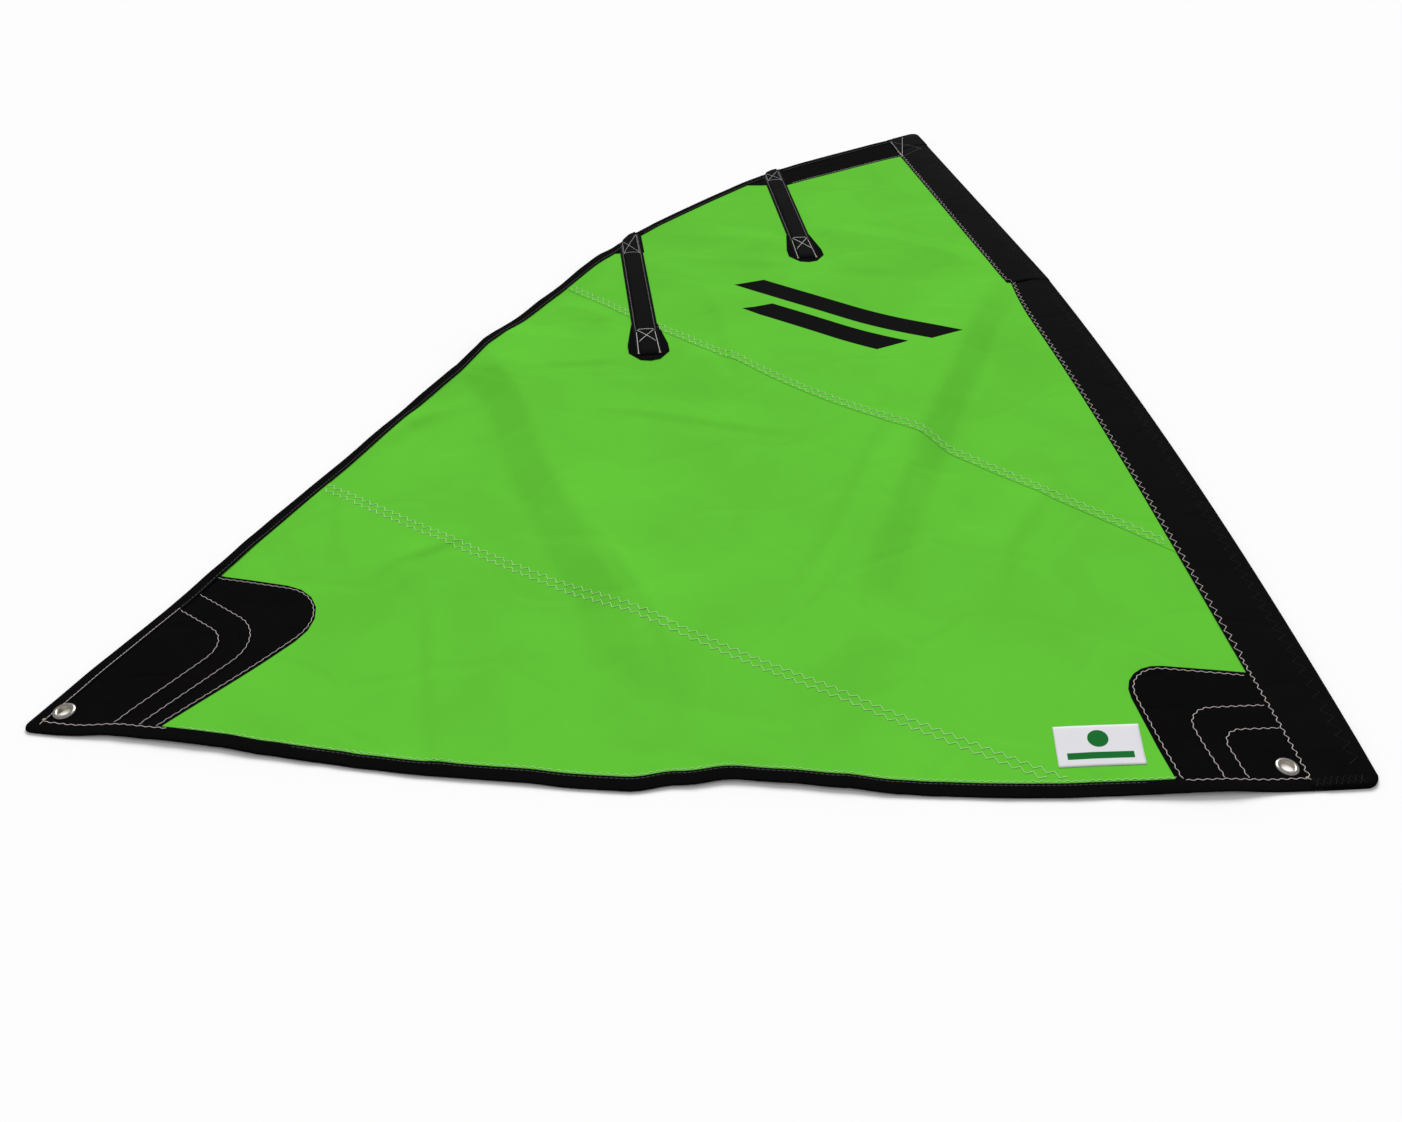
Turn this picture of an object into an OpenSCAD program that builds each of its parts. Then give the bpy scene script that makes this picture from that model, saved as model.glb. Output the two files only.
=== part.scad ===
// Small roll-up windsurf sail, lying flat on its back face.
// Millimetres. The sail is drawn from its tack corner, with +Y up the luff and +X ahead of it,
// and is then moved so that the origin is the axis of the tack eyelet, at the back face.

/* [Sail outline] */
// Straight distance from the tack corner to the head corner
luff_len = 1822; // [1500:1:2250]
// How far aft of the tack corner the clew corner lies
clew_aft = 1297; // [1050:1:1650]
// How far above the tack corner the clew corner lies
clew_up = 190; // [120:1:260]
// Height above the tack corner where the two lengths of mast sleeve meet
sleeve_joint_up = 1084; // [900:1:1200]
// How far the luff stands ahead of the straight line at that joint
luff_out = 47; // [30:1:60]
// Extra curve of the luff below the joint
luff_bow = 17; // [5:1:25]
// Convex curve of the foot
foot_bow = 37; // [10:1:45]
// How much fuller that curve is towards the tack than towards the clew
foot_skew = 0.1; // [0:0.05:0.5]
// Convex curve of the leech below the lower batten
leech_bow = 12; // [5:1:30]
// How much fuller that curve is towards the batten than towards the clew
leech_skew = 0.4; // [0:0.05:0.5]
// Convex curve of the leech between the battens
roach_bow = 6; // [1:1:10]
// Convex curve of the leech from the head to the upper batten
head_bow = 1; // [0:0.5:6]
// Radius of the tack corner
tack_r = 15; // [8:1:25]
// Radius of the head corner
head_r = 20; // [10:1:25]
// Radius of the clew corner
clew_r = 9; // [6:1:12]

/* [Cloth] */
// Thickness of each panel, tape and sleeve cloth as it lies
cloth_t = 0.5; // [0.4:0.05:0.8]
// Thickness of each reinforcing patch
patch_t = 0.3; // [0.2:0.05:0.4]
// Overlap of two panels at a sewn seam
seam_lap = 18; // [10:1:25]
// Width of the binding tape on the leech and foot
tape_w = 16; // [12:1:22]
// How far below the head corner the upper seam meets the leech
seam_1_leech_drop = 690; // [560:1:760]
// Height of the upper seam on the luff
seam_1_luff_up = 372; // [300:1:500]
// Height of the lower seam on the leech
seam_2_leech_up = 582; // [480:1:700]
// Distance along the foot from the large tack patch to the lower seam
seam_2_patch_gap = 52; // [40:1:160]
// Hollow of the lower seam, which gives the cloth its fullness
seam_2_hollow = 10; // [0:1:20]

/* [Mast sleeve] */
// Height of the sleeve over the floor with its cloth gently rounded
sleeve_h = 10; // [8:0.5:16]
// Width of the sleeve at its open foot
sleeve_foot_w = 68; // [60:1:84]
// Width of the lower length at its middle
sleeve_mid_w = 77; // [70:1:90]
// Width of the lower length where it ends
sleeve_joint_w = 65; // [60:1:80]
// Width of the upper length
sleeve_upper_w = 74; // [66:1:85]
// Width of the sewn edge that holds the panels
sleeve_seam_w = 10; // [8:1:14]
// Length of the cap over the head end of the sleeve, along its luff side
cap_len = 82; // [60:1:120]
// How much further down the cap's lower edge lies on its aft side
cap_rise = 28; // [0:1:50]

/* [Head band] */
// Width of the band at the sleeve
band_w = 93; // [60:1:110]
// Width of the band at the upper pocket
band_end_w = 77; // [60:1:100]

/* [Battens] */
// How far aft of the luff line the upper pocket lies
upper_pocket_aft = 348; // [300:1:400]
// How far below the head corner the mouth of the upper pocket is
upper_mouth_drop = 200; // [170:1:240]
// Lean of the upper batten from the luff line, in degrees
upper_lean = 0.7; // [0:0.1:3]
// How far aft of the luff line the lower pocket lies
lower_pocket_aft = 650; // [600:1:700]
// How far below the head corner the mouth of the lower pocket is
lower_mouth_drop = 496; // [460:1:540]
// Lean of the lower batten from the luff line, in degrees
lower_lean = 1.7; // [0:0.1:3]
// Width of a pocket strip
pocket_w = 40; // [36:1:46]
// Length of the upper batten with its tips
upper_batten_len = 380; // [320:1:420]
// Length of the lower batten with its tips
lower_batten_len = 404; // [340:1:450]
// Width of a batten's strip
batten_w = 20; // [14:1:24]
// Thickness of a batten's strip
batten_t = 1.5; // [1:0.1:2.5]
// Clearance round a batten's tips in their pocket
batten_gap = 0.6; // [0.3:0.1:1]
// Length of the plastic tip on each end of a batten
tip_len = 23; // [20:1:30]
// Distance from the pocket mouth to the batten
mouth_gap = 26; // [22:1:34]
// Width of the patch over the inner end of a pocket
end_patch_w = 62; // [52:1:72]
// Length of that patch
end_patch_len = 116; // [90:1:130]
// How far the patch reaches past the end of the pocket
end_patch_past = 16; // [6:1:30]
// Width of the patch under a pocket's mouth, on the pocket's own stretch
mouth_patch_w = 45; // [42:1:60]
// How far that patch runs in from the mouth
mouth_patch_len = 72; // [50:1:90]

/* [Corner patches] */
// Reach of the large tack patch aft of the sleeve
tack_large_w = 123; // [105:1:140]
// Height of the large tack patch
tack_large_h = 183; // [150:1:210]
// Reach of the middle tack patch
tack_middle_w = 81; // [75:1:95]
// Height of the middle tack patch
tack_middle_h = 115; // [100:1:135]
// Reach of the small tack patch
tack_small_w = 58; // [50:1:66]
// Height of the small tack patch
tack_small_h = 84; // [70:1:94]
// Reach of the large clew patch from the clew corner
clew_large_reach = 306; // [280:1:340]
// Reach of the middle clew patch
clew_middle_reach = 222; // [210:1:260]
// Reach of the small clew patch
clew_small_reach = 183; // [150:1:200]

/* [Eyelets] */
// Radius of the hole through an eyelet
eyelet_bore_r = 6; // [4:0.5:7]
// Radius of the eyelet's flange
eyelet_r = 11; // [10:0.5:13]
// Wall of the eyelet's barrel
eyelet_wall = 0.6; // [0.4:0.1:1]
// Height of the domed flange above its seat
eyelet_dome = 1.8; // [1.2:0.1:2.5]
// Gap between the tack eyelet's flange and the sleeve's sewn edge
tack_flange_gap = 1.565; // [1:0.005:30]
// How far the flange lies above the width of the foot tape at the tack corner
tack_flange_rise = 4; // [3:0.5:30]
// Distance of the clew eyelet ahead of the clew corner
clew_eyelet_in = 36; // [34:1:60]
// Height of the clew eyelet above the clew corner
clew_eyelet_up = 21.5; // [18:0.5:30]

/* [Label and print] */
// Length of the sewn label
label_w = 86; // [60:1:100]
// Height of the label
label_h = 50; // [30:1:60]
// Distance of the label aft of the large tack patch
label_patch_gap = 16; // [8:1:60]
// Height of the label's aft corner above the tack corner
label_up = 53; // [45:1:120]
// Thickness of the label
label_t = 0.3; // [0.2:0.05:0.5]
// Length of the printed mark
mark_len = 390; // [300:1:480]
// Width of each bar of the printed mark
mark_w = 44; // [30:1:60]
// Thickness of the printed film
mark_t = 0.1; // [0.05:0.05:0.2]

/* [Hidden] */

// Colours of the finishes
sail_green = [0.38, 0.76, 0.22];
dacron_black = [0.06, 0.065, 0.07];
nickel = [0.78, 0.76, 0.70];
fibreglass = [0.85, 0.87, 0.80];
tip_grey = [0.30, 0.31, 0.33];
label_white = [0.93, 0.93, 0.93];

// Layers, counted up from the floor
back_top = cloth_t;
under_panel_z = back_top;
over_panel_z = under_panel_z + cloth_t;
panel_top = over_panel_z + cloth_t;
tack_patch_z = over_panel_z;
clew_patch_z = panel_top;
bind_top = panel_top + 3 * patch_t;
tape_top = bind_top + cloth_t;
pocket_z = panel_top + patch_t;

// Main corners, measured from the tack corner
tack = [0, 0];
joint = [luff_out, sleeve_joint_up];
head = [0, luff_len];
upper_mouth = [-upper_pocket_aft, luff_len - upper_mouth_drop];
lower_mouth = [-lower_pocket_aft, luff_len - lower_mouth_drop];
clew = [-clew_aft, clew_up];
tack_eyelet_up = tape_w + eyelet_r + tack_flange_rise;
tack_eyelet_aft = lower_w(tack_eyelet_up) - lower_luff_x(tack_eyelet_up)
    + eyelet_r + tack_flange_gap;
tack_eyelet_at = [-tack_eyelet_aft, tack_eyelet_up];
clew_eyelet_at = clew + [clew_eyelet_in, clew_eyelet_up];
far = 3000;
barrel_r = eyelet_bore_r + eyelet_wall;
hole_gap = 0.1;
washer_r = eyelet_r - 0.5;

function unit(v) = v / norm(v);
function left_of(v) = [-v[1], v[0]];

// Points from a to b on a shallow curve that stands out to the right by bow, without b itself;
// skew makes the curve fuller towards b
function bowed(a, b, bow, n, skew = 0) =
    [for (i = [0:n - 1]) let (t = i / n, full = 1 + skew * (2 * t - 1))
        a + (b - a) * t - left_of(unit(b - a)) * 4 * bow * full * t * (1 - t)];

// The sail's outline with sharp corners, going up the luff, down the leech and along the foot
luff_n = 12;
short_n = 3;
leech_n = 12;
foot_n = 14;
head_i = luff_n + 1;
upper_i = head_i + short_n;
lower_i = upper_i + short_n;
clew_i = lower_i + leech_n;
sharp = concat(
    bowed(tack, joint, luff_bow, luff_n),
    bowed(joint, head, 0, 1),
    bowed(head, upper_mouth, head_bow, short_n),
    bowed(upper_mouth, lower_mouth, roach_bow, short_n),
    bowed(lower_mouth, clew, leech_bow, leech_n, -leech_skew),
    bowed(clew, tack, foot_bow, foot_n, foot_skew));

// The closed outline moved in by d, still with sharp corners
function moved_in(p, d) =
    [for (i = [0:len(p) - 1])
        let (a = left_of(unit(p[i] - p[(i + len(p) - 1) % len(p)])),
             b = left_of(unit(p[(i + 1) % len(p)] - p[i])))
        p[i] + (a + b) * d / (1 + a * b)];

// An arc of radius r that rounds the corner at p between its neighbours a and b
function rounded(a, p, b, r, n = 6) =
    let (u = unit(a - p), v = unit(b - p), half = acos(u * v) / 2,
         centre = p + unit(u + v) * r / sin(half),
         from = p + u * r / tan(half) - centre,
         start = atan2(from[1], from[0]),
         turn = (u[0] * v[1] - u[1] * v[0] < 0 ? 1 : -1) * (180 - 2 * half))
    [for (i = [0:n]) centre + r * [cos(start + turn * i / n), sin(start + turn * i / n)]];

function corner_r(i) = i == 0 ? tack_r : i == head_i ? head_r : i == clew_i ? clew_r : 0;

// The finished outline moved in by d
function outline(d) =
    let (p = moved_in(sharp, d), n = len(p))
    [for (i = [0:n - 1]) each corner_r(i) > 0
        ? rounded(p[(i + n - 1) % n], p[i], p[(i + 1) % n], corner_r(i) - d)
        : [p[i]]];

module slab(points, low, high) {
    translate([0, 0, low]) linear_extrude(high - low) polygon(points);
}

module whole_sail(d, low, high) {
    slab(outline(d), low, high);
}

// X of the luff edge and of the sleeve's sewn edge at height y
function lower_luff_x(y) =
    let (t = y / sleeve_joint_up) luff_out * t + 4 * luff_bow * t * (1 - t);
function upper_luff_x(y) = luff_out * (luff_len - y) / (luff_len - sleeve_joint_up);
function lower_w(y) =
    let (t = max(0, y / sleeve_joint_up), narrow = max(0, (t - 0.86) / 0.14))
    sleeve_foot_w + (sleeve_mid_w - sleeve_foot_w) * sin(90 * min(1, 2.4 * t))
    - (sleeve_mid_w - sleeve_joint_w) * narrow * narrow;

sleeve_n = 16;
low_y = -30;
high_y = luff_len + 30;
lower_ys = [for (i = [0:sleeve_n]) low_y + (sleeve_joint_up - low_y) * i / sleeve_n];
upper_ys = [sleeve_joint_up, high_y];

// Points up the sleeve's sewn edge, moved ahead by d
function lower_edge(d) = [for (y = lower_ys) [lower_luff_x(y) - lower_w(y) + d, y]];
function upper_edge(d) = [for (y = upper_ys) [upper_luff_x(y) - sleeve_upper_w + d, y]];
// Points up the luff itself, moved ahead by d
function lower_luff(d) = [for (y = lower_ys) [lower_luff_x(y) + d, y]];
function upper_luff(d) = [for (y = upper_ys) [upper_luff_x(y) + d, y]];
function reversed(p) = [for (i = [len(p) - 1:-1:0]) p[i]];

// Everything aft of the sleeve's sewn edge moved ahead by d
module aft_of_sleeve(d, low, high) {
    slab(concat(lower_edge(d), upper_edge(d), [[-far, high_y], [-far, low_y]]), low, high);
}

// ---------------------------------------------------------------- panels

// A seam runs from the leech to the luff or foot, straight or slightly hollow, and on past both
function seam_line(from, to, hollow, shift) =
    let (along = unit(to - from), up = left_of(along))
    [for (p = concat([from - along * far], bowed(from, to, hollow, 8), [to, to + along * far]))
        p + up * shift];
seam_1_leech_aft = 763;
seam_1_luff_aft = 50;
seam_2_leech_aft = 1068;
tack_patch_aft = sleeve_foot_w + tack_large_w;
seam_2_foot_aft = tack_patch_aft + seam_2_patch_gap;
seam_1_leech_up = luff_len - seam_1_leech_drop;
function seam_1(shift) =
    seam_line([-seam_1_leech_aft, seam_1_leech_up], [-seam_1_luff_aft, seam_1_luff_up], 0, shift);
function seam_2(shift) =
    seam_line([-seam_2_leech_aft, seam_2_leech_up], [-seam_2_foot_aft, 0], seam_2_hollow, shift);

// Everything on the head side of a seam line
module above_seam(line, low, high) {
    slab(concat(line, [[far, far], [-far, far]]), low, high);
}

module eyelet_hole(at, r) {
    translate([at[0], at[1], -1]) cylinder(r = r, h = sleeve_h + 2, $fn = 64);
}

// Sail cloth between two heights, out to the inside of the binding and in under the sleeve
module sail_cloth(low, high) {
    intersection() {
        whole_sail(cloth_t, low, high);
        aft_of_sleeve(sleeve_seam_w, low, high);
    }
}

module head_panel() {
    color(sail_green) intersection() {
        sail_cloth(over_panel_z, panel_top);
        above_seam(seam_1(-seam_lap / 2), over_panel_z, panel_top);
    }
}

module middle_panel() {
    color(sail_green) difference() {
        intersection() {
            sail_cloth(under_panel_z, over_panel_z);
            above_seam(seam_2(-seam_lap / 2), under_panel_z, over_panel_z);
        }
        above_seam(seam_1(seam_lap / 2), 0, sleeve_h);
        eyelet_hole(tack_eyelet_at, barrel_r + hole_gap);
    }
}

module clew_panel() {
    color(sail_green) difference() {
        sail_cloth(over_panel_z, panel_top);
        above_seam(seam_2(seam_lap / 2), 0, sleeve_h);
        eyelet_hole(clew_eyelet_at, barrel_r + hole_gap);
    }
}

// ---------------------------------------------------------------- mast sleeve

// One length of the sleeve: back cloth, sewn edge over the panels, and a hollow tube ahead of it
module sleeve_length(edge, crease, wall, luff_in, y_low, y_high) {
    tube_in = concat(wall, reversed(luff_in));
    difference() {
        intersection() {
            whole_sail(0, 0, sleeve_h);
            translate([-far, y_low, 0]) cube([2 * far, y_high - y_low, sleeve_h]);
            union() {
                slab(concat(edge, [[far, y_high], [far, y_low]]), 0, back_top);
                slab(concat(edge, reversed(wall)), panel_top, panel_top + cloth_t);
                slab(concat(crease, [[far, y_high], [far, y_low]]), 0, sleeve_h);
            }
        }
        slab(tube_in, back_top, sleeve_h - cloth_t);
    }
}

module mast_sleeve_lower() {
    color(dacron_black) sleeve_length(
        lower_edge(0), lower_edge(sleeve_seam_w), lower_edge(sleeve_seam_w + cloth_t),
        lower_luff(-cloth_t), low_y, sleeve_joint_up);
}

module mast_sleeve_upper() {
    color(dacron_black) sleeve_length(
        upper_edge(0), upper_edge(sleeve_seam_w), upper_edge(sleeve_seam_w + cloth_t),
        upper_luff(-cloth_t), sleeve_joint_up, high_y);
}

// The cap closes the head end of the sleeve and wraps round the head corner, with its lower
// edge rising from the aft side to the luff
module sleeve_head_cap() {
    top = sleeve_h + cloth_t;
    low_aft = [-sleeve_upper_w, luff_len - cap_len - cap_rise];
    low_luff = low_aft + [sleeve_upper_w, cap_rise];
    along = unit(low_luff - low_aft);
    color(dacron_black) difference() {
        intersection() {
            whole_sail(-cloth_t, 0, top);
            slab(concat(upper_edge(0), [[far, high_y], [far, sleeve_joint_up]]), 0, top);
            slab([low_aft - along * far, low_luff + along * far,
                low_luff + left_of(along) * far], 0, top);
        }
        whole_sail(0, -1, sleeve_h);
    }
}

// ---------------------------------------------------------------- head band and binding

// Band across the head from the sleeve to the upper pocket, under the binding
module head_band() {
    down = left_of(unit(upper_mouth - head));
    color(dacron_black) intersection() {
        whole_sail(cloth_t, panel_top, panel_top + patch_t);
        aft_of_sleeve(0, panel_top, panel_top + patch_t);
        slab([head + down * band_w, head - down * far, upper_mouth - down * far,
            upper_mouth + down * band_end_w], panel_top, panel_top + patch_t);
        at_mouth(upper_mouth, upper_lean)
            translate([mouth_patch_w / 2, -far, 0]) cube([far, 2 * far, sleeve_h]);
    }
}

// Folded tape round an edge: the sail's outline less its inside, kept to the strip between
// two stretches of the outline
module binding(first, last) {
    sharp_in = moved_in(sharp, tape_w);
    strip = concat([for (i = [first:last]) sharp[i % len(sharp)]],
        [for (i = [last:-1:first]) sharp_in[i % len(sharp)]]);
    difference() {
        intersection() {
            whole_sail(0, 0, tape_top);
            slab(strip, 0, tape_top);
        }
        whole_sail(cloth_t, back_top, bind_top);
    }
}

// Space kept clear at a pocket's mouth, as wide as its strip
module pocket_lane(mouth, lean) {
    at_mouth(mouth, lean)
        translate([-pocket_w / 2, -far / 2, -1]) cube([pocket_w, far, sleeve_h]);
}

module leech_tape_lower() {
    color(dacron_black) difference() {
        binding(lower_i, clew_i);
        pocket_lane(lower_mouth, lower_lean);
        eyelet_hole(clew_eyelet_at, barrel_r + hole_gap);
        washer_space(clew_eyelet_at);
    }
}

module leech_tape_middle() {
    color(dacron_black) difference() {
        binding(upper_i, lower_i);
        pocket_lane(upper_mouth, upper_lean);
        pocket_lane(lower_mouth, lower_lean);
    }
}

module leech_tape_upper() {
    color(dacron_black) difference() {
        intersection() {
            binding(head_i, upper_i);
            aft_of_sleeve(0, 0, tape_top);
        }
        pocket_lane(upper_mouth, upper_lean);
    }
}

module foot_tape() {
    color(dacron_black) difference() {
        intersection() {
            binding(clew_i, clew_i + foot_n);
            aft_of_sleeve(0, 0, tape_top);
        }
        washer_space(clew_eyelet_at);
    }
}

// ---------------------------------------------------------------- corner patches

// A patch in a corner of the sail, with a rounded nose and two straight sides that run out
// past the edges of the sail, which trim it
module nosed_patch(side_a, nose, side_b, r, z) {
    intersection() {
        whole_sail(cloth_t, z, z + patch_t);
        slab(concat([side_a], rounded(side_a, nose, side_b, r), [side_b],
            [(side_a + side_b) - nose]), z, z + patch_t);
    }
}

// drop: how far the top side falls from the nose to the luff; layer: 0 for the lowest patch
module tack_patch(w, h, drop, r, layer) {
    nose = [-sleeve_foot_w - w, h];
    z = tack_patch_z + layer * patch_t;
    color(dacron_black) difference() {
        intersection() {
            nosed_patch([0, h - drop], nose, nose + [0, -2 * h], r, z);
            aft_of_sleeve(0, z, z + patch_t);
        }
        eyelet_hole(tack_eyelet_at, barrel_r + hole_gap);
    }
}

// rise: angle of the upper side above straight aft; fall: angle of the lower side below it
module clew_patch(reach, nose_up, rise, fall, r, layer) {
    nose = clew + [reach, nose_up];
    color(dacron_black) difference() {
        nosed_patch(nose + reach * [-cos(rise), sin(rise)], nose,
            nose - reach * [cos(fall), sin(fall)], r, clew_patch_z + layer * patch_t);
        eyelet_hole(clew_eyelet_at, barrel_r + hole_gap);
    }
}

// Each patch's nose is rounded to its own radius, the smaller ones more tightly
module tack_patch_large() tack_patch(tack_large_w, tack_large_h, 38, 42, 0);
module tack_patch_middle() tack_patch(tack_middle_w, tack_middle_h, 4, 30, 1);
module tack_patch_small() tack_patch(tack_small_w, tack_small_h, 4, 24, 2);
module clew_patch_large() clew_patch(clew_large_reach, 171, 17.7, 48.2, 58, 0);
module clew_patch_middle() clew_patch(clew_middle_reach, 119, 38.5, 52.2, 54, 1);
module clew_patch_small() clew_patch(clew_small_reach, 113, 38.5, 53.5, 38, 2);

// ---------------------------------------------------------------- eyelets

// Eyelet with a straight barrel down to the floor and a domed flange seated at height seat
module eyelet(at, seat) {
    dome_mid = (eyelet_r + eyelet_bore_r) / 2;
    half_w = (eyelet_r - eyelet_bore_r) / 2;
    section = concat(
        [[eyelet_bore_r, 0], [barrel_r, 0], [barrel_r, seat], [eyelet_r, seat],
            [eyelet_r, seat + 0.3]],
        [for (a = [15:15:165]) [dome_mid + half_w * cos(a),
            seat + 0.3 + (eyelet_dome - 0.3) * sin(a)]],
        [[eyelet_bore_r, seat + 0.3]]);
    translate([at[0], at[1], 0]) rotate_extrude($fn = 96) polygon(section);
}

module washer_space(at) {
    translate([at[0], at[1], -1]) cylinder(r = washer_r + 0.2, h = 1 + back_top, $fn = 64);
}

module eyelet_washer(at) {
    translate([at[0], at[1], 0]) difference() {
        cylinder(r = washer_r, h = back_top, $fn = 96);
        translate([0, 0, -1]) cylinder(r = barrel_r + hole_gap, h = back_top + 2, $fn = 96);
    }
}

module tack_eyelet() color(nickel) eyelet(tack_eyelet_at, tack_patch_z + 3 * patch_t);
module tack_eyelet_washer() color(nickel) eyelet_washer(tack_eyelet_at);
module clew_eyelet() color(nickel) eyelet(clew_eyelet_at, tape_top);
module clew_eyelet_washer() color(nickel) eyelet_washer(clew_eyelet_at);

// ---------------------------------------------------------------- batten pockets

// Places its children at a pocket's mouth, with the pocket running down -Y
module at_mouth(mouth, lean) {
    translate([mouth[0], mouth[1], 0]) rotate(lean) children();
}

tip_wall = 0.5;
tip_hold = 6;
tip_w = batten_w + 2 * tip_wall;
tip_t = batten_t + 2 * tip_wall;
end_room = 12;
function pocket_len(length) = mouth_gap + length + end_room;
channel_w = tip_w + 2 * batten_gap;
channel_h = tip_t + 2 * batten_gap;

// Strip with a raised channel for the batten, trimmed to the leech at its mouth
module batten_pocket(mouth, lean, length) {
    deep = pocket_len(length);
    color(dacron_black) difference() {
        intersection() {
            whole_sail(0, pocket_z, pocket_z + channel_h + cloth_t);
            at_mouth(mouth, lean) union() {
                translate([-pocket_w / 2, -deep, pocket_z])
                    cube([pocket_w, 2 * deep, cloth_t]);
                translate([-channel_w / 2 - cloth_t, -deep, pocket_z])
                    cube([channel_w + 2 * cloth_t, 2 * deep, channel_h + cloth_t]);
            }
        }
        at_mouth(mouth, lean) translate([-channel_w / 2, cloth_t - deep, pocket_z - 1])
            cube([channel_w, 2 * deep, channel_h + 1]);
    }
}

// Eight-sided patch under the inner end of a pocket
module pocket_end_patch(mouth, lean, length) {
    half = end_patch_w / 2;
    neck = pocket_w / 2 + 1;
    foot_half = half - 16;
    top = end_patch_len - end_patch_past - pocket_len(length);
    bottom = top - end_patch_len;
    color(dacron_black) at_mouth(mouth, lean)
        slab([[neck, top], [-neck, top], [-half, bottom + 50], [-half, bottom + 26],
            [-foot_half, bottom + 4], [0, bottom], [foot_half, bottom + 4],
            [half, bottom + 26], [half, bottom + 50]], panel_top, pocket_z);
}

// Patch under the mouth of a pocket, with a tail that runs down the leech
module pocket_mouth_patch(mouth, lean) {
    side = mouth_patch_w / 2;
    color(dacron_black) intersection() {
        whole_sail(cloth_t, panel_top, pocket_z);
        at_mouth(mouth, lean) slab([[side, -mouth_patch_len], [side, far], [-far, far],
            [-far, -mouth_patch_len]], panel_top, pocket_z);
    }
}

module upper_batten_pocket() batten_pocket(upper_mouth, upper_lean, upper_batten_len);
module lower_batten_pocket() batten_pocket(lower_mouth, lower_lean, lower_batten_len);
module upper_pocket_end_patch() pocket_end_patch(upper_mouth, upper_lean, upper_batten_len);
module lower_pocket_end_patch() pocket_end_patch(lower_mouth, lower_lean, lower_batten_len);
module upper_pocket_mouth_patch() pocket_mouth_patch(upper_mouth, upper_lean);
module lower_pocket_mouth_patch() pocket_mouth_patch(lower_mouth, lower_lean);

// ---------------------------------------------------------------- battens

batten_z = pocket_z + batten_gap / 2;

// Flat fibreglass strip between its two tips
module batten(mouth, lean, length) {
    bare = tip_len - tip_hold;
    color(fibreglass) at_mouth(mouth, lean)
        translate([-batten_w / 2, bare - mouth_gap - length, batten_z + tip_wall])
        cube([batten_w, length - 2 * bare, batten_t]);
}

// A round-ended tip that the strip's end is pushed into, turned to face out of either end
module batten_tip(at_y, turn) {
    r = tip_w / 2;
    translate([0, at_y, batten_z]) rotate(turn) difference() {
        union() {
            translate([0, -r, 0]) cylinder(r = r, h = tip_t, $fn = 64);
            translate([-r, -tip_len, 0]) cube([tip_w, tip_len - r, tip_t]);
        }
        translate([-batten_w / 2, -tip_len - tip_w, tip_wall])
            cube([batten_w, tip_w + tip_hold, batten_t]);
    }
}

module batten_tips(mouth, lean, length) {
    color(tip_grey) at_mouth(mouth, lean) {
        batten_tip(-mouth_gap, 0);
        batten_tip(-mouth_gap - length, 180);
    }
}

module upper_batten() batten(upper_mouth, upper_lean, upper_batten_len);
module lower_batten() batten(lower_mouth, lower_lean, lower_batten_len);
module upper_batten_tips() batten_tips(upper_mouth, upper_lean, upper_batten_len);
module lower_batten_tips() batten_tips(lower_mouth, lower_lean, lower_batten_len);

// ---------------------------------------------------------------- label and printed mark

label_at = [-tack_patch_aft - label_patch_gap - label_w, label_up];
label_turn = -4.5;

module label() {
    color(label_white) translate([label_at[0], label_at[1], over_panel_z]) rotate(label_turn)
        cube([label_w, label_h, label_t]);
}

// Two slanting bars with cut ends, one above the other, placed down from the head
mark_at = [-340, luff_len - 847];
mark_turn = -40;
mark_gap = 22;
mark_slant = 30;

module mark_bar(low, length) {
    slab([[-length / 2, low], [length / 2 - mark_slant, low],
        [length / 2, low + mark_w], [-length / 2 + mark_slant, low + mark_w]],
        panel_top, panel_top + mark_t);
}

module printed_mark() {
    color(dacron_black) translate([mark_at[0], mark_at[1], 0]) rotate(mark_turn) {
        mark_bar(mark_gap / 2, mark_len);
        mark_bar(-mark_gap / 2 - mark_w, mark_len * 0.7);
    }
}

// ---------------------------------------------------------------- assembly

module in_frame() {
    translate([tack_eyelet_aft, -tack_eyelet_up, 0]) children();
}

in_frame() {
    head_panel();
    middle_panel();
    clew_panel();
    mast_sleeve_lower();
    mast_sleeve_upper();
    sleeve_head_cap();
    head_band();
    leech_tape_lower();
    leech_tape_middle();
    leech_tape_upper();
    foot_tape();
    tack_patch_large();
    tack_patch_middle();
    tack_patch_small();
    clew_patch_large();
    clew_patch_middle();
    clew_patch_small();
    tack_eyelet();
    tack_eyelet_washer();
    clew_eyelet();
    clew_eyelet_washer();
    upper_batten_pocket();
    upper_pocket_end_patch();
    upper_pocket_mouth_patch();
    lower_batten_pocket();
    lower_pocket_end_patch();
    lower_pocket_mouth_patch();
    upper_batten();
    upper_batten_tips();
    lower_batten();
    lower_batten_tips();
    label();
    printed_mark();
}
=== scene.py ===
"""Windsurf sail: cloth, tapes, patches, stitches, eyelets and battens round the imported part.

Lengths inside the functions are millimetres measured from the tack corner, +Y up the luff and +X
ahead of it. place() turns them into the part's own frame, in metres, whose origin is the axis of the
tack eyelet at the back face.
"""

import math
from collections import namedtuple

import bmesh
import bpy
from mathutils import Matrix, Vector, noise


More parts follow.
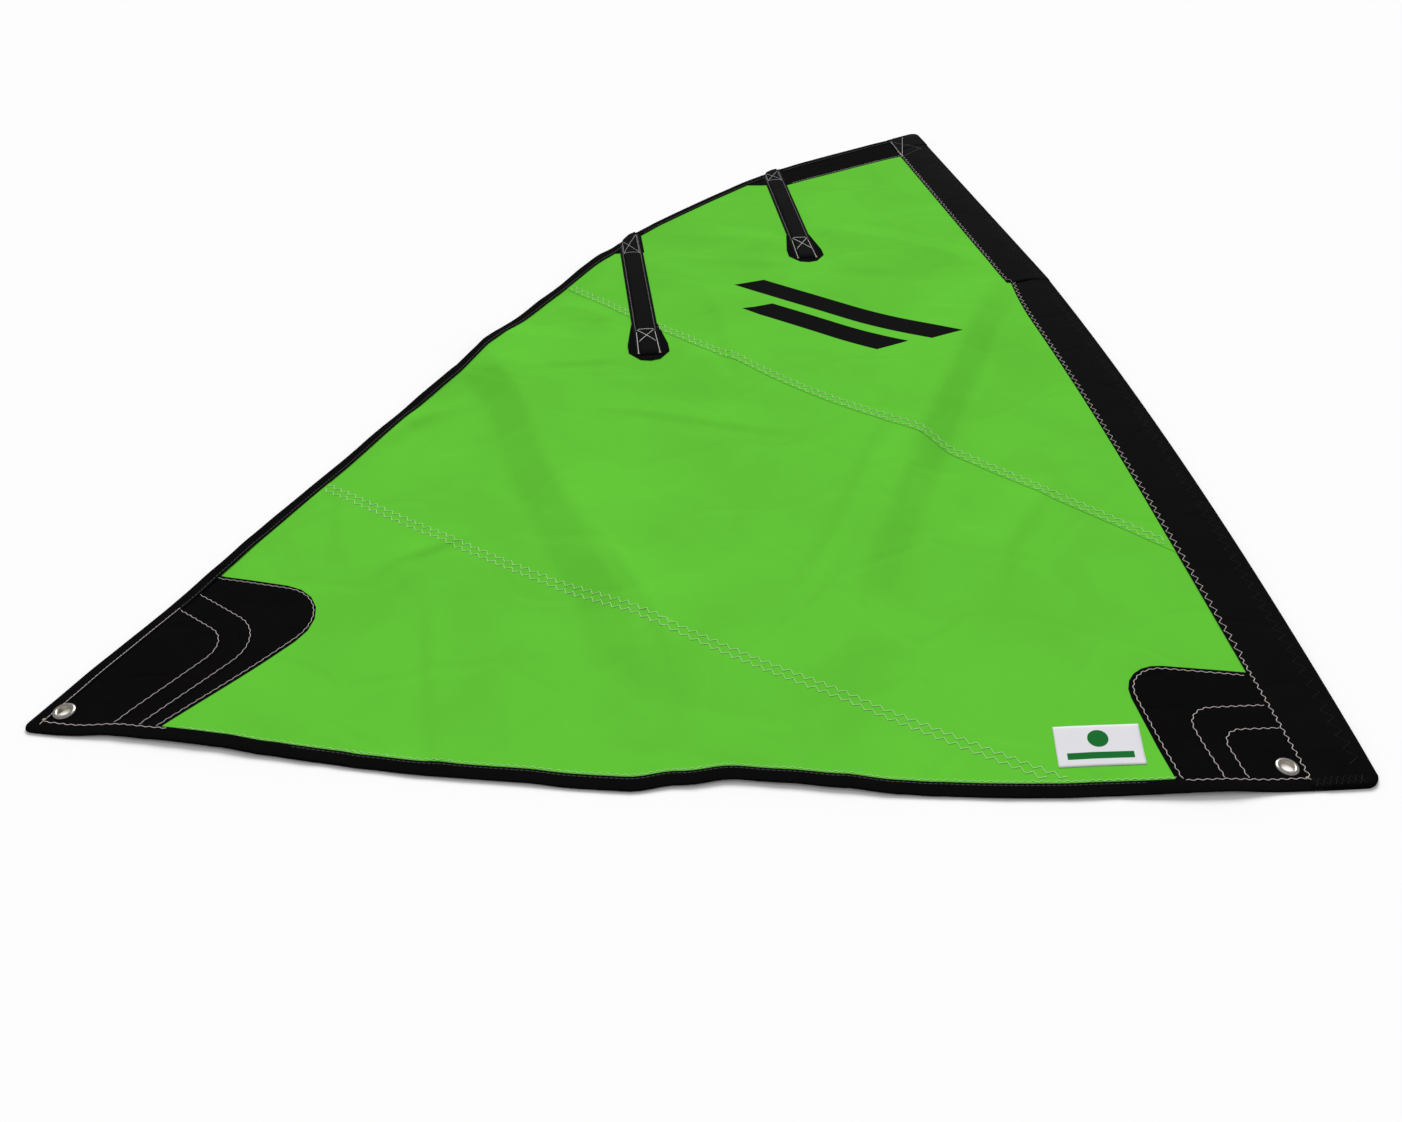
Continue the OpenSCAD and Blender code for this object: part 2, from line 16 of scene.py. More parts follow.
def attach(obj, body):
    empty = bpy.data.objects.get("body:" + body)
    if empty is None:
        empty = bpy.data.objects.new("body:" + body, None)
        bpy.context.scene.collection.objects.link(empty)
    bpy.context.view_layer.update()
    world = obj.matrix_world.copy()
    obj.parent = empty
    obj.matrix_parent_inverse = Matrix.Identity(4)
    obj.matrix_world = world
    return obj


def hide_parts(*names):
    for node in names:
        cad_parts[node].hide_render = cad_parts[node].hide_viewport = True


bl_info = {
    "name": "Windsurf sail",
    "version": (1, 0, 0),
    "blender": (4, 5, 0),
    "location": "View3D > Sidebar > Sail",
    "description": "Builds a small roll-up windsurf sail piece by piece",
    "category": "Object",
}

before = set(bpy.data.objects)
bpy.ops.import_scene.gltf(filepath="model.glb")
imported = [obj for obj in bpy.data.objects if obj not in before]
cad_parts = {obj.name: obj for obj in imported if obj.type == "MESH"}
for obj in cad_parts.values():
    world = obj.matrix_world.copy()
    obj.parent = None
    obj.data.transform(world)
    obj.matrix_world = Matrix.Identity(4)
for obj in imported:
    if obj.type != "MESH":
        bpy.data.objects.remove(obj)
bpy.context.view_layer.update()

# ------------------------------------------------------------------ sizes of the sail, in mm

MM = 0.001
EYELET_AFT = 78.3
EYELET_UP = 31.0
BORE_R = 6.0
TACK = Vector((0, 0))
HEAD = Vector((0, 1822))
CLEW = Vector((-1297, 190))
UPPER_MOUTH = Vector((-348, 1622))
LOWER_MOUTH = Vector((-650, 1326))
TACK_EYELET = Vector((-EYELET_AFT, EYELET_UP))
CLEW_EYELET = Vector((-1261, 211.5))
LUFF_OUT = 47.0
LUFF_BOW = 17.0
HEAD_BOW = 1.0
ROACH_BOW = 6.0
LEECH_BOW = 12.0
LEECH_SKEW = -0.4
FOOT_BOW = 37.0
FOOT_SKEW = 0.1
JOINT_UP = 1084.0
SLEEVE_FOOT_W = 68.0
SLEEVE_SWELL = 9.0
SLEEVE_TUCK = 12.0
TUCK_FROM = 0.86
UPPER_SLEEVE_W = 74.0
SEWN_EDGE = 11.0
TAPE_W = 16.0
TAPE_SEWN = 13
BAND_W = 93.0
BAND_END_W = 77.0
POCKET_W = 40.0
FLOOR_GAP = 0.25
PANEL_TOP = 1.5
PATCH_TOP = 1.8
FLANGE_Z = 1.8
PLY = 0.3
SEAM_1 = (Vector((-763, 1132)), Vector((-50, 372)))
SEAM_2 = (Vector((-1068, 582)), Vector((-243, 0)))
SEAM_2_HOLLOW = 10.0

# A batten pocket: the middle of its mouth, its lean, its depth, how steeply the leech runs on each
# side of that middle, how deep the mouth's box of stitches is, how deep the cross at the inner end
# starts and stops, and where the rows beside that cross end
Pocket = namedtuple("Pocket", "mouth lean deep ahead aft box cross_start cross_stop rows_stop")
POCKETS = {
    "upper": Pocket(UPPER_MOUTH, math.radians(0.7), 418.0, 0.575, 0.98, 55, 338, 384, 419),
    "lower": Pocket(LOWER_MOUTH, math.radians(1.7), 442.0, 0.98, 1.756, 78, 365, 403, 438),
}


def smooth(t):
    """An even step from 0 to 1."""
    t = min(1.0, max(0.0, t))
    return t * t * (3 - 2 * t)


def mix(a, b, t):
    return a + (b - a) * t


def left_of(along):
    """The direction a quarter turn to the left."""
    return Vector((-along.y, along.x))


def curve(a, b, bow=0.0, skew=0.0):
    """A shallow curve from a to b that stands out to the right, by the share along it."""
    left = left_of((b - a).normalized())

    def at(t):
        return a + (b - a) * t - left * (4 * bow * (1 + skew * (2 * t - 1)) * t * (1 - t))

    return at


head_side = curve(HEAD, UPPER_MOUTH, HEAD_BOW)
roach_side = curve(UPPER_MOUTH, LOWER_MOUTH, ROACH_BOW)
leech_side = curve(LOWER_MOUTH, CLEW, LEECH_BOW, LEECH_SKEW)
foot_side = curve(CLEW, TACK, FOOT_BOW, FOOT_SKEW)
LEECH_IN = left_of((CLEW - LOWER_MOUTH).normalized())
BAND_DOWN = left_of((UPPER_MOUTH - HEAD).normalized())


def inset(side, depth):
    """The same side moved into the sail by depth."""

    def moved(t):
        return side(t) + left_of((side(t + 0.001) - side(t - 0.001)).normalized()) * depth

    return moved


def foot_y(x):
    return foot_side((x - CLEW.x) / -CLEW.x).y


def luff_x(y):
    if y > JOINT_UP:
        return LUFF_OUT * (HEAD.y - y) / (HEAD.y - JOINT_UP)
    t = y / JOINT_UP
    return LUFF_OUT * t + 4 * LUFF_BOW * t * (1 - t)


def lower_width(y):
    """Width of the lower sleeve: it swells above the foot and tucks in under the upper one."""
    t = max(0.0, y / JOINT_UP)
    tuck = max(0.0, (t - TUCK_FROM) / (1 - TUCK_FROM))
    swell = math.sin(math.pi / 2 * min(1, 2.4 * t))
    return SLEEVE_FOOT_W + SLEEVE_SWELL * swell - SLEEVE_TUCK * tuck * tuck


def upper_width(y):
    return UPPER_SLEEVE_W


def sleeve_width(y):
    return upper_width(y) if y > JOINT_UP else lower_width(y)


def sleeve_edge_x(y):
    """X of the sleeve's sewn edge."""
    return luff_x(y) - sleeve_width(y)


def on_pocket(which, u, v):
    """The point u across a pocket and v up it from the mouth."""
    lean = POCKETS[which].lean
    across = Vector((math.cos(lean), math.sin(lean)))
    return POCKETS[which].mouth + across * u + left_of(across) * v


# ------------------------------------------------------------------ how the cloth lies

# Each fold: the points of its crest with the height there, and how far the cloth takes to come
# down on the crest's right and on its left, looking along it
FOLDS = (
    (((-915, 1000, 2), (-888, 945, 9.5), (-860, 860, 15), (-828, 790, 16), (-805, 700, 15),
      (-785, 600, 15), (-752, 500, 15), (-722, 400, 14), (-690, 325, 12), (-684, 250, 10),
      (-680, 180, 5), (-672, 110, 1), (-668, 40, 0)), 60, 190),
    (((-20, 1110, 0), (-92, 1005, 9), (-150, 900, 14), (-198, 800, 16), (-252, 700, 16),
      (-300, 600, 16), (-350, 500, 14), (-398, 400, 10), (-436, 330, 8), (-458, 250, 6),
      (-482, 170, 3), (-500, 40, 1)), 190, 48),
    (((-318, 665, 0), (-345, 610, -3.5), (-400, 500, -3.5), (-450, 405, -3), (-512, 305, 0)), 18, 18),
    (((-738, 475, 0), (-702, 400, 2.5), (-666, 300, 2.5), (-640, 190, 0)), 12, 14),
    (((-880, 960, 2.5), (-780, 948, 2.5), (-705, 925, 1.5), (-650, 895, 0)), 90, 50),
    (((-860, 1085, 0), (-795, 1062, 1), (-740, 1040, 5), (-700, 1012, 5), (-665, 985, 0)), 80, 45),
    (((-840, 845, 0), (-770, 862, 2.5), (-690, 875, 2), (-640, 870, 0)), 18, 60),
    (((-535, 1130, 0), (-512, 1010, 4), (-510, 860, 5), (-500, 700, 0)), 26, 60),
    (((-150, 520, 0), (-178, 470, 3), (-240, 390, 4), (-272, 320, 3), (-285, 250, 0)), 70, 20),
    (((-925, 460, 0), (-950, 400, 3.5), (-978, 310, 0)), 14, 26),
    (((-915, 390, 0), (-905, 290, 3.5), (-893, 190, 3.5), (-885, 120, 2)), 14, 26),
    (((-1040, 590, 0), (-1034, 500, 3.5), (-1030, 420, 0)), 14, 26),
    (((-870, 470, 0), (-905, 452, 2.5), (-955, 425, 2.5), (-1000, 380, 0)), 40, 14),
    (((-1040, 620, 0), (-1012, 676, 2), (-970, 728, 4), (-900, 775, 0)), 22, 30),
    (((-560, 905, 0), (-552, 872, 3.5), (-530, 800, 3), (-520, 740, 0)), 60, 22),
    (((-740, 740, 0), (-650, 722, 2), (-540, 682, 2), (-410, 640, 0)), 16, 60),
    (((-330, 1325, 0), (-270, 1300, 6), (-180, 1255, 7), (-90, 1185, 6), (-40, 1120, 0)), 190, 60),
    (((-615, 1340, 0), (-480, 1305, 3), (-400, 1285, 3), (-330, 1240, 0)), 60, 50),
    (((-600, 1235, 0), (-450, 1200, 2), (-330, 1180, 2), (-100, 1095, 0)), 30, 70),
    (((-660, 1306, 0), (-700, 1245, 6), (-740, 1180, 5), (-770, 1135, 2), (-830, 1030, 2),
      (-850, 1000, 2), (-878, 950, 0)), 45, 45),
    (((-895, 920, 0), (-930, 859, 5), (-957, 811, 4), (-985, 764, 2), (-1038, 669, 0),
      (-1090, 573, 0), (-1140, 480, 0)), 55, 55),
    (((-1290, 185, 0), (-1248, 178, 0.7), (-1199, 166, 1), (-1149, 154, 1), (-1100, 143, 0.9),
      (-1050, 132, 0.4), (-1000, 121, 0), (-960, 113, 0)), 90, 90),
    (((-675, 60, 0), (-650, 57, 0.5), (-605, 50, 1.5), (-555, 43, 1.2), (-505, 37, 0.8),
      (-455, 31, 0.2), (-410, 26, 0)), 140, 140),
    (((-250, 12, 0), (-205, 9, 2), (-152, 6, 3.5), (-100, 3, 1.5), (-60, 1, 0)), 60, 60),
)
CREST = 6.0
BROAD_FOLD = 80
BROAD_TAIL = 0.6
NARROW_TAIL = 0.16
FREE_HEIGHT = 15
TALLEST = 18.0
FOOT_PUCKER = 0.5
FOOT_PUCKER_IN = 26
LEECH_PUCKER = 1.6
LEECH_PUCKER_IN = 45

# How far the leech stands out of its fair curve at heights above the tack corner
LEECH_WANDER = ((190, 0), (240, -2), (300, -2), (380, -3.5), (430, -2), (480, 0))
LEECH_FADE = 110
# How far the foot stands out of its fair curve at distances ahead of the tack corner
FOOT_WANDER = (
    (-1285, 0), (-1248, -6.2), (-1199, -7.0), (-1149, -7.6), (-1100, -7.0), (-1051, -3.3),
    (-1000, -0.8), (-950, 2), (-900, 4), (-805, 4), (-750, 6.5), (-705, 6.5), (-654, -3.7),
    (-604, -12.6), (-554, -10.5), (-504, -6.7), (-454, -1.5), (-420, 0),
    (-350, 1.5), (-300, 1.5), (-250, 0))
FOOT_FADE = 140

# What holds the cloth flat: the line of it, how far round it is flat, and how far it then fades
BATTEN_CALM = (24, 45)
EYELET_CALM = (18, 55)
CALM = (
    ((on_pocket("upper", 0, 20), on_pocket("upper", 0, -440)), *BATTEN_CALM),
    ((on_pocket("lower", 0, 20), on_pocket("lower", 0, -460)), *BATTEN_CALM),
    ((CLEW_EYELET, CLEW_EYELET + Vector((1, 0))), *EYELET_CALM),
    ((TACK_EYELET, TACK_EYELET + Vector((1, 0))), *EYELET_CALM),
)


def nearest(p, line):
    """Signed distance of p from a line of points, positive on its left, and the place of the
    nearest point as the number of its stretch and the share along it."""
    best = None
    for k, (a, b) in enumerate(zip(line, line[1:])):
        a, b = Vector(a[:2]), Vector(b[:2])
        step = b - a
        share = min(1.0, max(0.0, (p - a).dot(step) / step.dot(step)))
        off = p - (a + step * share)
        side = -1.0 if step.x * off.y - step.y * off.x < 0 else 1.0
        if best is None or off.length < abs(best[0]):
            best = (side * off.length, k, share)
    return best


def slope_down(off, reach):
    """Height share at a distance from a crest: round at the crest, then straight, then flat."""
    crest = min(0.3, CREST / reach)
    tail = max(crest, BROAD_TAIL if reach > BROAD_FOLD else NARROW_TAIL)
    q = off / reach
    fall = 1 / (1 - crest / 2 - tail / 2)
    if q < crest:
        return 1 - fall * q * q / (2 * crest)
    if q < 1 - tail:
        return 1 - fall * (q - crest / 2)
    return fall * (1 - q) * (1 - q) / (2 * tail) if q < 1 else 0.0


def fold_box(fold):
    """The limits in X and Y of the cloth that a fold lifts."""
    line, right, left = fold
    reach = max(right, left)
    xs, ys = [q[0] for q in line], [q[1] for q in line]
    return min(xs) - reach, max(xs) + reach, min(ys) - reach, max(ys) + reach


FOLD_BOXES = [fold_box(fold) for fold in FOLDS]


def fold_height(p, fold, box):
    if not (box[0] < p.x < box[1] and box[2] < p.y < box[3]):
        return 0.0
    line, right, left = fold
    off, k, share = nearest(p, line)
    high = mix(line[k][2], line[k + 1][2], share)
    return high * slope_down(abs(off), left if off > 0 else right)


def table(points, at):
    """The value of a table of points at a place, with soft steps between them."""
    if at <= points[0][0] or at >= points[-1][0]:
        return 0.0
    for a, b in zip(points, points[1:]):
        if at <= b[0]:
            return mix(a[1], b[1], smooth((at - a[0]) / (b[0] - a[0])))


def calm(p):
    """0 where a batten or an eyelet holds the cloth flat, 1 well away from them."""
    still = min(smooth((abs(nearest(p, line)[0]) - flat) / fade) for line, flat, fade in CALM)
    from_sleeve = sleeve_edge_x(min(p.y, 1800)) - p.x
    return still * mix(0.12, 1.0, smooth((from_sleeve + 20) / 70))


def from_foot(p):
    return p.y - foot_y(p.x)


def from_leech(p):
    """Distance in from the leech below the lower batten."""
    share = min(1.0, max(0.0, (LOWER_MOUTH.y - p.y) / (LOWER_MOUTH.y - CLEW.y)))
    return (p - leech_side(share)).dot(LEECH_IN)


def waves(x, y, z):
    """Smooth noise from -1 to 1."""
    return noise.noise(Vector((x, y, z)))


def puckers(p):
    """Small waves that the tape draws the cloth into along the leech and foot."""
    foot = math.exp(-(from_foot(p) / FOOT_PUCKER_IN) ** 2) * waves(p.x / 17, 0.5, 1.2)
    run = (p.y - p.x) * 0.7
    leech = math.exp(-(from_leech(p) / LEECH_PUCKER_IN) ** 2) * waves(run / 16, 2.5, 7.2)
    return FOOT_PUCKER * max(-0.5, foot) + LEECH_PUCKER * max(-0.5, leech) + 0.6


def lift(x, y):
    """Height of the cloth's underside over the floor where it lies in folds."""
    p = Vector((x, y))
    folds = sum(fold_height(p, fold, box) for fold, box in zip(FOLDS, FOLD_BOXES))
    wide = waves(x / 150, y / 190, 3.1) + 0.5
    fine = waves(x / 55, y / 70, 8.7) + 0.5
    high = max(0.0, folds) + 0.9 * max(0.0, wide) + 0.22 * max(0.0, fine) + puckers(p)
    if high > FREE_HEIGHT:
        room = TALLEST - FREE_HEIGHT
        high = FREE_HEIGHT + room * math.tanh((high - FREE_HEIGHT) / room)
    return high * calm(p)


def wander(x, y):
    """Where a point of the fair outline really lies: the edges wander a little."""
    p = Vector((x, y))
    free = calm(p)
    foot = table(FOOT_WANDER, x) * smooth(1 - from_foot(p) / FOOT_FADE) * free
    leech = table(LEECH_WANDER, y) * smooth(1 - from_leech(p) / LEECH_FADE) * free
    return x - LEECH_IN.x * leech, y - LEECH_IN.y * leech - foot


def place(x, y, z):
    """A point in millimetres from the tack corner, in the part's frame."""
    return Vector(((x + EYELET_AFT) * MM, (y - EYELET_UP) * MM, z * MM))


def place_cloth(x, y, z):
    """The same for a point of the cloth, whose edges wander."""
    return place(*wander(x, y), z)


# ------------------------------------------------------------------ settings a user would change


class SailLooks(bpy.types.PropertyGroup):
    """Colours of the sail's cloths and fittings."""

    green: bpy.props.FloatVectorProperty(
        name="Sailcloth", description="Colour of the three panels", subtype="COLOR",
        size=3, min=0, max=1, default=(0.1135, 0.504, 0.0362))
    black: bpy.props.FloatVectorProperty(
        name="Black cloth", description="Colour of the sleeve, patches and tapes",
        subtype="COLOR", size=3, min=0, max=1, default=(0.0033, 0.0033, 0.0036))
    thread: bpy.props.FloatVectorProperty(
        name="Light thread", description="Colour of the thread on the black cloth",
        subtype="COLOR", size=3, min=0, max=1, default=(0.66, 0.58, 0.56))
    seam_thread: bpy.props.FloatVectorProperty(
        name="Seam thread", description="Colour of the thread on the green cloth",
        subtype="COLOR", size=3, min=0, max=1, default=(0.55, 0.85, 0.40))
    # The eyelets' colour is darker than real nickel plate: it is a painted dark reflection that stands
    # in for the darker surroundings the plate would mirror.
    nickel: bpy.props.FloatVectorProperty(
        name="Eyelets", description="Colour of the nickel plate", subtype="COLOR",
        size=3, min=0, max=1, default=(0.36, 0.34, 0.31))


class SailSizes(bpy.types.PropertyGroup):
    """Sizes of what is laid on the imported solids."""

    cell: bpy.props.FloatProperty(
        name="Cloth cell", description="Spacing of the cuts that let a panel bend",
        subtype="DISTANCE", unit="LENGTH", min=0.005, max=0.03, default=0.0065)
    thread_r: bpy.props.FloatProperty(
        name="Thread radius", description="Radius of a sewing thread as it lies",
        subtype="DISTANCE", unit="LENGTH", min=0.0002, max=0.001, default=0.00048)
    sleeve_puff: bpy.props.FloatProperty(
        name="Sleeve fullness", description="How far the empty sleeve stands up",
        subtype="DISTANCE", unit="LENGTH", min=0.0, max=0.006, default=0.0032)
    light: bpy.props.FloatProperty(
        name="Key light", description="Strength of the soft light from the head side",
        min=0.0, max=6.0, default=2.58)


def sizes():
    return bpy.context.scene.sail_sizes


def colour_of(value):
    """A colour given as it is, or by the name of its setting."""
    return getattr(bpy.context.scene.sail_looks, value) if isinstance(value, str) else value


# ------------------------------------------------------------------ materials

MIX_COLOUR_A = 6
MIX_COLOUR_B = 7
MIX_COLOUR_OUT = 2


def give(tree, socket, value):
    """Sets a socket's plain value, or links it where the value is another socket."""
    if isinstance(value, bpy.types.NodeSocket):
        tree.links.new(value, socket)
    else:
        socket.default_value = value


def add_node(tree, kind, **values):
    """A shader node with its attributes set and its sockets given their values or links."""
    made = tree.nodes.new(kind)
    for key, value in values.items():
        if hasattr(made, key):
            setattr(made, key, value)
        else:
            give(tree, made.inputs[key.replace("_", " ")], value)
    return made


def math_node(tree, operation, *values):
    made = add_node(tree, "ShaderNodeMath", operation=operation)
    for socket, value in zip(made.inputs, values):
        give(tree, socket, value)
    return made.outputs[0]


def in_range(tree, value, low, high, start=0.0, stop=1.0, step="LINEAR"):
    """Carries a value from the range start to stop over to the range low to high."""
    return add_node(tree, "ShaderNodeMapRange", interpolation_type=step, Value=value,
                    From_Min=start, From_Max=stop, To_Min=low, To_Max=high).outputs[0]


def grain(tree, vector, scale, **values):
    """Noise drawn out along the sail by unequal scales."""
    stretch = add_node(tree, "ShaderNodeMapping", Scale=scale, Vector=vector)
    noise_node = add_node(tree, "ShaderNodeTexNoise", Scale=1.0, Vector=stretch.outputs[0], **values)
    return noise_node.outputs[0]


def tint(tree, shader, colour, tone):
    """Colours a shader, lighter and darker by a tone round 1."""
    shade = add_node(tree, "ShaderNodeVectorMath", operation="SCALE", Scale=tone)
    shade.inputs[0].default_value = colour_of(colour)
    tree.links.new(shade.outputs[0], shader.inputs["Base Color"])


def emboss(tree, shader, height, strength, distance, **under):
    """Tilts a shader's normal by a height, over what already tilts it."""
    bump = add_node(tree, "ShaderNodeBump", Strength=strength, Distance=distance, Height=height,
                    **under)
    tree.links.new(bump.outputs[0], shader.inputs["Normal"])
    return bump.outputs[0]


def kept_group(name, build, inputs, outputs):
    """A node group by its name, built the first time."""
    if name not in bpy.data.node_groups:
        tree = bpy.data.node_groups.new(name, "ShaderNodeTree")
        for label, kind, value in inputs:
            socket = tree.interface.new_socket(name=label, in_out="INPUT", socket_type=kind)
            if value is not None:
                socket.default_value = value
        for label in outputs:
            tree.interface.new_socket(name=label, in_out="OUTPUT", socket_type="NodeSocketFloat")
        given, out = tree.nodes.new("NodeGroupInput"), tree.nodes.new("NodeGroupOutput")
        build(tree, given.outputs, out.inputs)
    return bpy.data.node_groups[name]


def build_weave(tree, given, out):
    split = add_node(tree, "ShaderNodeSeparateXYZ", Vector=given["Vector"])
    turns = math_node(tree, "MULTIPLY", given["Threads per metre"], math.pi)
    warp = math_node(tree, "SINE", math_node(tree, "MULTIPLY", split.outputs["X"], turns))
    weft = math_node(tree, "SINE", math_node(tree, "MULTIPLY", split.outputs["Y"], turns))
    tree.links.new(math_node(tree, "MULTIPLY", warp, weft), out["Height"])
    tree.links.new(grain(tree, given["Vector"], (900, 40, 40), Detail=2.0), out["Tone"])


def weave(tree, vector, threads):
    """Crossing threads of a plain weave: Height of the threads, and Tone from thread to thread."""
    group = kept_group(
        "plain_weave", build_weave,
        [("Vector", "NodeSocketVector", None), ("Threads per metre", "NodeSocketFloat", 1600.0)],
        ("Height", "Tone"))
    return add_node(tree, "ShaderNodeGroup", node_tree=group, Vector=vector,
                    Threads_per_metre=threads).outputs


def build_creases(tree, given, out):
    vector, scale = given["Vector"], given["Scale"]
    wide = add_node(tree, "ShaderNodeTexNoise", Vector=vector, Scale=scale, Detail=3.0,
                    Roughness=0.45, Distortion=0.6).outputs
    shift = add_node(tree, "ShaderNodeVectorMath", operation="MULTIPLY_ADD")
    for socket, value in zip(shift.inputs, (wide["Color"], (0.05, 0.05, 0.0), vector)):
        give(tree, socket, value)
    cells = add_node(tree, "ShaderNodeTexVoronoi", feature="DISTANCE_TO_EDGE",
                     Vector=shift.outputs[0], Scale=scale)
    crease = in_range(tree, cells.outputs["Distance"], 0.0, 1.0, 0.0, 0.09, "SMOOTHSTEP")
    tree.links.new(math_node(tree, "MULTIPLY_ADD", crease, 0.25, wide[0]), out["Height"])
    tree.links.new(wide[0], out["Mask"])


def creases_of(tree, vector, scale):
    """Soft creases that coated cloth keeps from being rolled: a Height and a Mask."""
    group = kept_group(
        "rolled_creases", build_creases,
        [("Vector", "NodeSocketVector", None), ("Scale", "NodeSocketFloat", 9.0)],
        ("Height", "Mask"))
    return add_node(tree, "ShaderNodeGroup", node_tree=group, Vector=vector, Scale=scale).outputs


def kept_material(name, build, *values, from_uv=False):
    """A material by its name, built the first time."""
    if name not in bpy.data.materials:
        made = bpy.data.materials.new(name)
        made.use_nodes = True
        tree = made.node_tree
        coordinates = tree.nodes.new("ShaderNodeTexCoord")
        vector = coordinates.outputs["UV" if from_uv else "Object"]
        build(tree, tree.nodes["Principled BSDF"], vector, *values)
    return bpy.data.materials[name]


def build_cloth(tree, shader, vector, colour, roughness, ior, threads, depth, creases,
                crease_depth, mottle):
    """Woven cloth: tone that drifts, threads that catch the light, creases and a soft sheen."""
    woven = weave(tree, vector, threads)
    rolled = creases_of(tree, vector, creases)
    drift = in_range(tree, rolled["Mask"], 1 - mottle, 1 + mottle, 0.3, 0.7)
    streak = in_range(tree, woven["Tone"], 1 - mottle / 2, 1 + mottle / 2)
    tint(tree, shader, colour, math_node(tree, "MULTIPLY", drift, streak))
    rough = in_range(tree, rolled["Mask"], roughness - 0.06, roughness + 0.06)
    tree.links.new(rough, shader.inputs["Roughness"])
    shader.inputs["IOR"].default_value = ior
    broad = emboss(tree, shader, rolled["Height"], crease_depth, 0.004)
    emboss(tree, shader, woven["Height"], depth, 0.0002, Normal=broad)


# Each cloth: its colour, roughness and IOR, threads to the metre and how deep they look, creases to
# the metre and how deep they look, how much its tone drifts, and whether it follows the piece's map
CLOTHS = {
    "green_sailcloth": ("green", 0.8, 1.04, 2200, 0.06, 7.0, 0.28, 0.045, False),
    "black_sleeve_cloth": ("black", 0.8, 1.065, 1300, 0.2, 11.0, 0.5, 0.12, True),
    "black_patch_cloth": ("black", 0.9, 1.05, 1300, 0.2, 16.0, 0.55, 0.12, False),
    "black_pocket_tape": ("black", 0.8, 1.07, 1100, 0.3, 12.0, 0.2, 0.12, True),
    "black_binding_tape": ("black", 0.85, 1.05, 900, 0.3, 14.0, 0.2, 0.12, True),
    "printed_ink": ((0.0035, 0.0035, 0.0038), 0.8, 1.06, 2200, 0.05, 7.0, 0.16, 0.1, False),
}


def cloth(name):
    *values, from_uv = CLOTHS[name]
    return kept_material(name, build_cloth, *values, from_uv=from_uv)


def build_thread(tree, shader, vector, colour, roughness):
    """Twisted sewing thread with a little fluff."""
    twist = add_node(tree, "ShaderNodeTexWave", bands_direction="DIAGONAL", Scale=700.0,
                     Distortion=1.5, Detail=1.0, Vector=vector).outputs["Fac"]
    tint(tree, shader, colour, in_range(tree, twist, 0.75, 1.15))
    shader.inputs["Roughness"].default_value = roughness
    shader.inputs["Specular IOR Level"].default_value = 0.25
    emboss(tree, shader, twist, 0.4, 0.0003)


# Each thread: its colour and roughness
THREADS = {
    "light_thread": ("thread", 0.55),
    "green_seam_thread": ("seam_thread", 0.55),
    "black_thread": ((0.004, 0.004, 0.0045), 0.85),
    "dim_thread": ((0.05, 0.05, 0.05), 0.55),
    "pocket_thread": ((0.42, 0.40, 0.39), 0.55),
    "pocket_side_thread": ((0.24, 0.22, 0.215), 0.55),
    "box_thread": ((0.62, 0.60, 0.58), 0.55),
    "knot_thread": ((0.42, 0.36, 0.26), 0.55),
}


def thread(name):
    return kept_material(name, build_thread, *THREADS[name])


def build_metal(tree, shader, vector, colour, roughness):
    """Plated metal with fine rubbing marks and a little tarnish."""
    rubbed = add_node(tree, "ShaderNodeTexNoise", Scale=420.0, Detail=4.0, Roughness=0.6,
                      Vector=vector).outputs[0]
    tint(tree, shader, colour, in_range(tree, rubbed, 0.82, 1.05, 0.3, 0.7))
    rough = in_range(tree, rubbed, roughness - 0.08, roughness + 0.12)
    tree.links.new(rough, shader.inputs["Roughness"])
    shader.inputs["Metallic"].default_value = 1.0
    emboss(tree, shader, rubbed, 0.12, 0.0002)


def build_strip(tree, shader, vector, colour, roughness, fibre):
    """Moulded plastic or laminate with fibres or flow lines along the sail."""
    fibres = grain(tree, vector, (1500, 12, 200), Detail=3.0)
    tint(tree, shader, colour, in_range(tree, fibres, 1 - fibre, 1 + fibre))
    shader.inputs["Roughness"].default_value = roughness
    emboss(tree, shader, fibres, 0.15, 0.0002)


LABEL_W = 0.086
LABEL_H = 0.050
LABEL_BAR = (("GREATER_THAN", "X", 0.010), ("LESS_THAN", "X", 0.076),
             ("GREATER_THAN", "Y", 0.0085), ("LESS_THAN", "Y", 0.0165))
LABEL_DISC_AT = (0.043, 0.033, 0.0)
LABEL_DISC_R = 0.0105
LABEL_WHITE = (0.70, 0.70, 0.73, 1)
LABEL_GREEN = (0.002, 0.135, 0.02, 1)


def build_label(tree, shader, vector):
    """White satin label with a plain green disc over a plain green bar woven in."""
    split = add_node(tree, "ShaderNodeSeparateXYZ", Vector=vector)
    bar = 1.0
    for test, axis, limit in LABEL_BAR:
        bar = math_node(tree, "MULTIPLY", bar, math_node(tree, test, split.outputs[axis], limit))
    middle = add_node(tree, "ShaderNodeVectorMath", operation="DISTANCE")
    give(tree, middle.inputs[0], vector)
    give(tree, middle.inputs[1], LABEL_DISC_AT)
    disc = math_node(tree, "LESS_THAN", middle.outputs["Value"], LABEL_DISC_R)
    colour = add_node(tree, "ShaderNodeMix", data_type="RGBA",
                      Factor=math_node(tree, "MAXIMUM", bar, disc))
    colour.inputs[MIX_COLOUR_A].default_value = LABEL_WHITE
    colour.inputs[MIX_COLOUR_B].default_value = LABEL_GREEN
    tree.links.new(colour.outputs[MIX_COLOUR_OUT], shader.inputs["Base Color"])
    shader.inputs["Roughness"].default_value = 0.7
    shader.inputs["Specular IOR Level"].default_value = 0.08
    emboss(tree, shader, weave(tree, vector, 3000.0)["Height"], 0.2, 0.0002)


# ------------------------------------------------------------------ making pieces


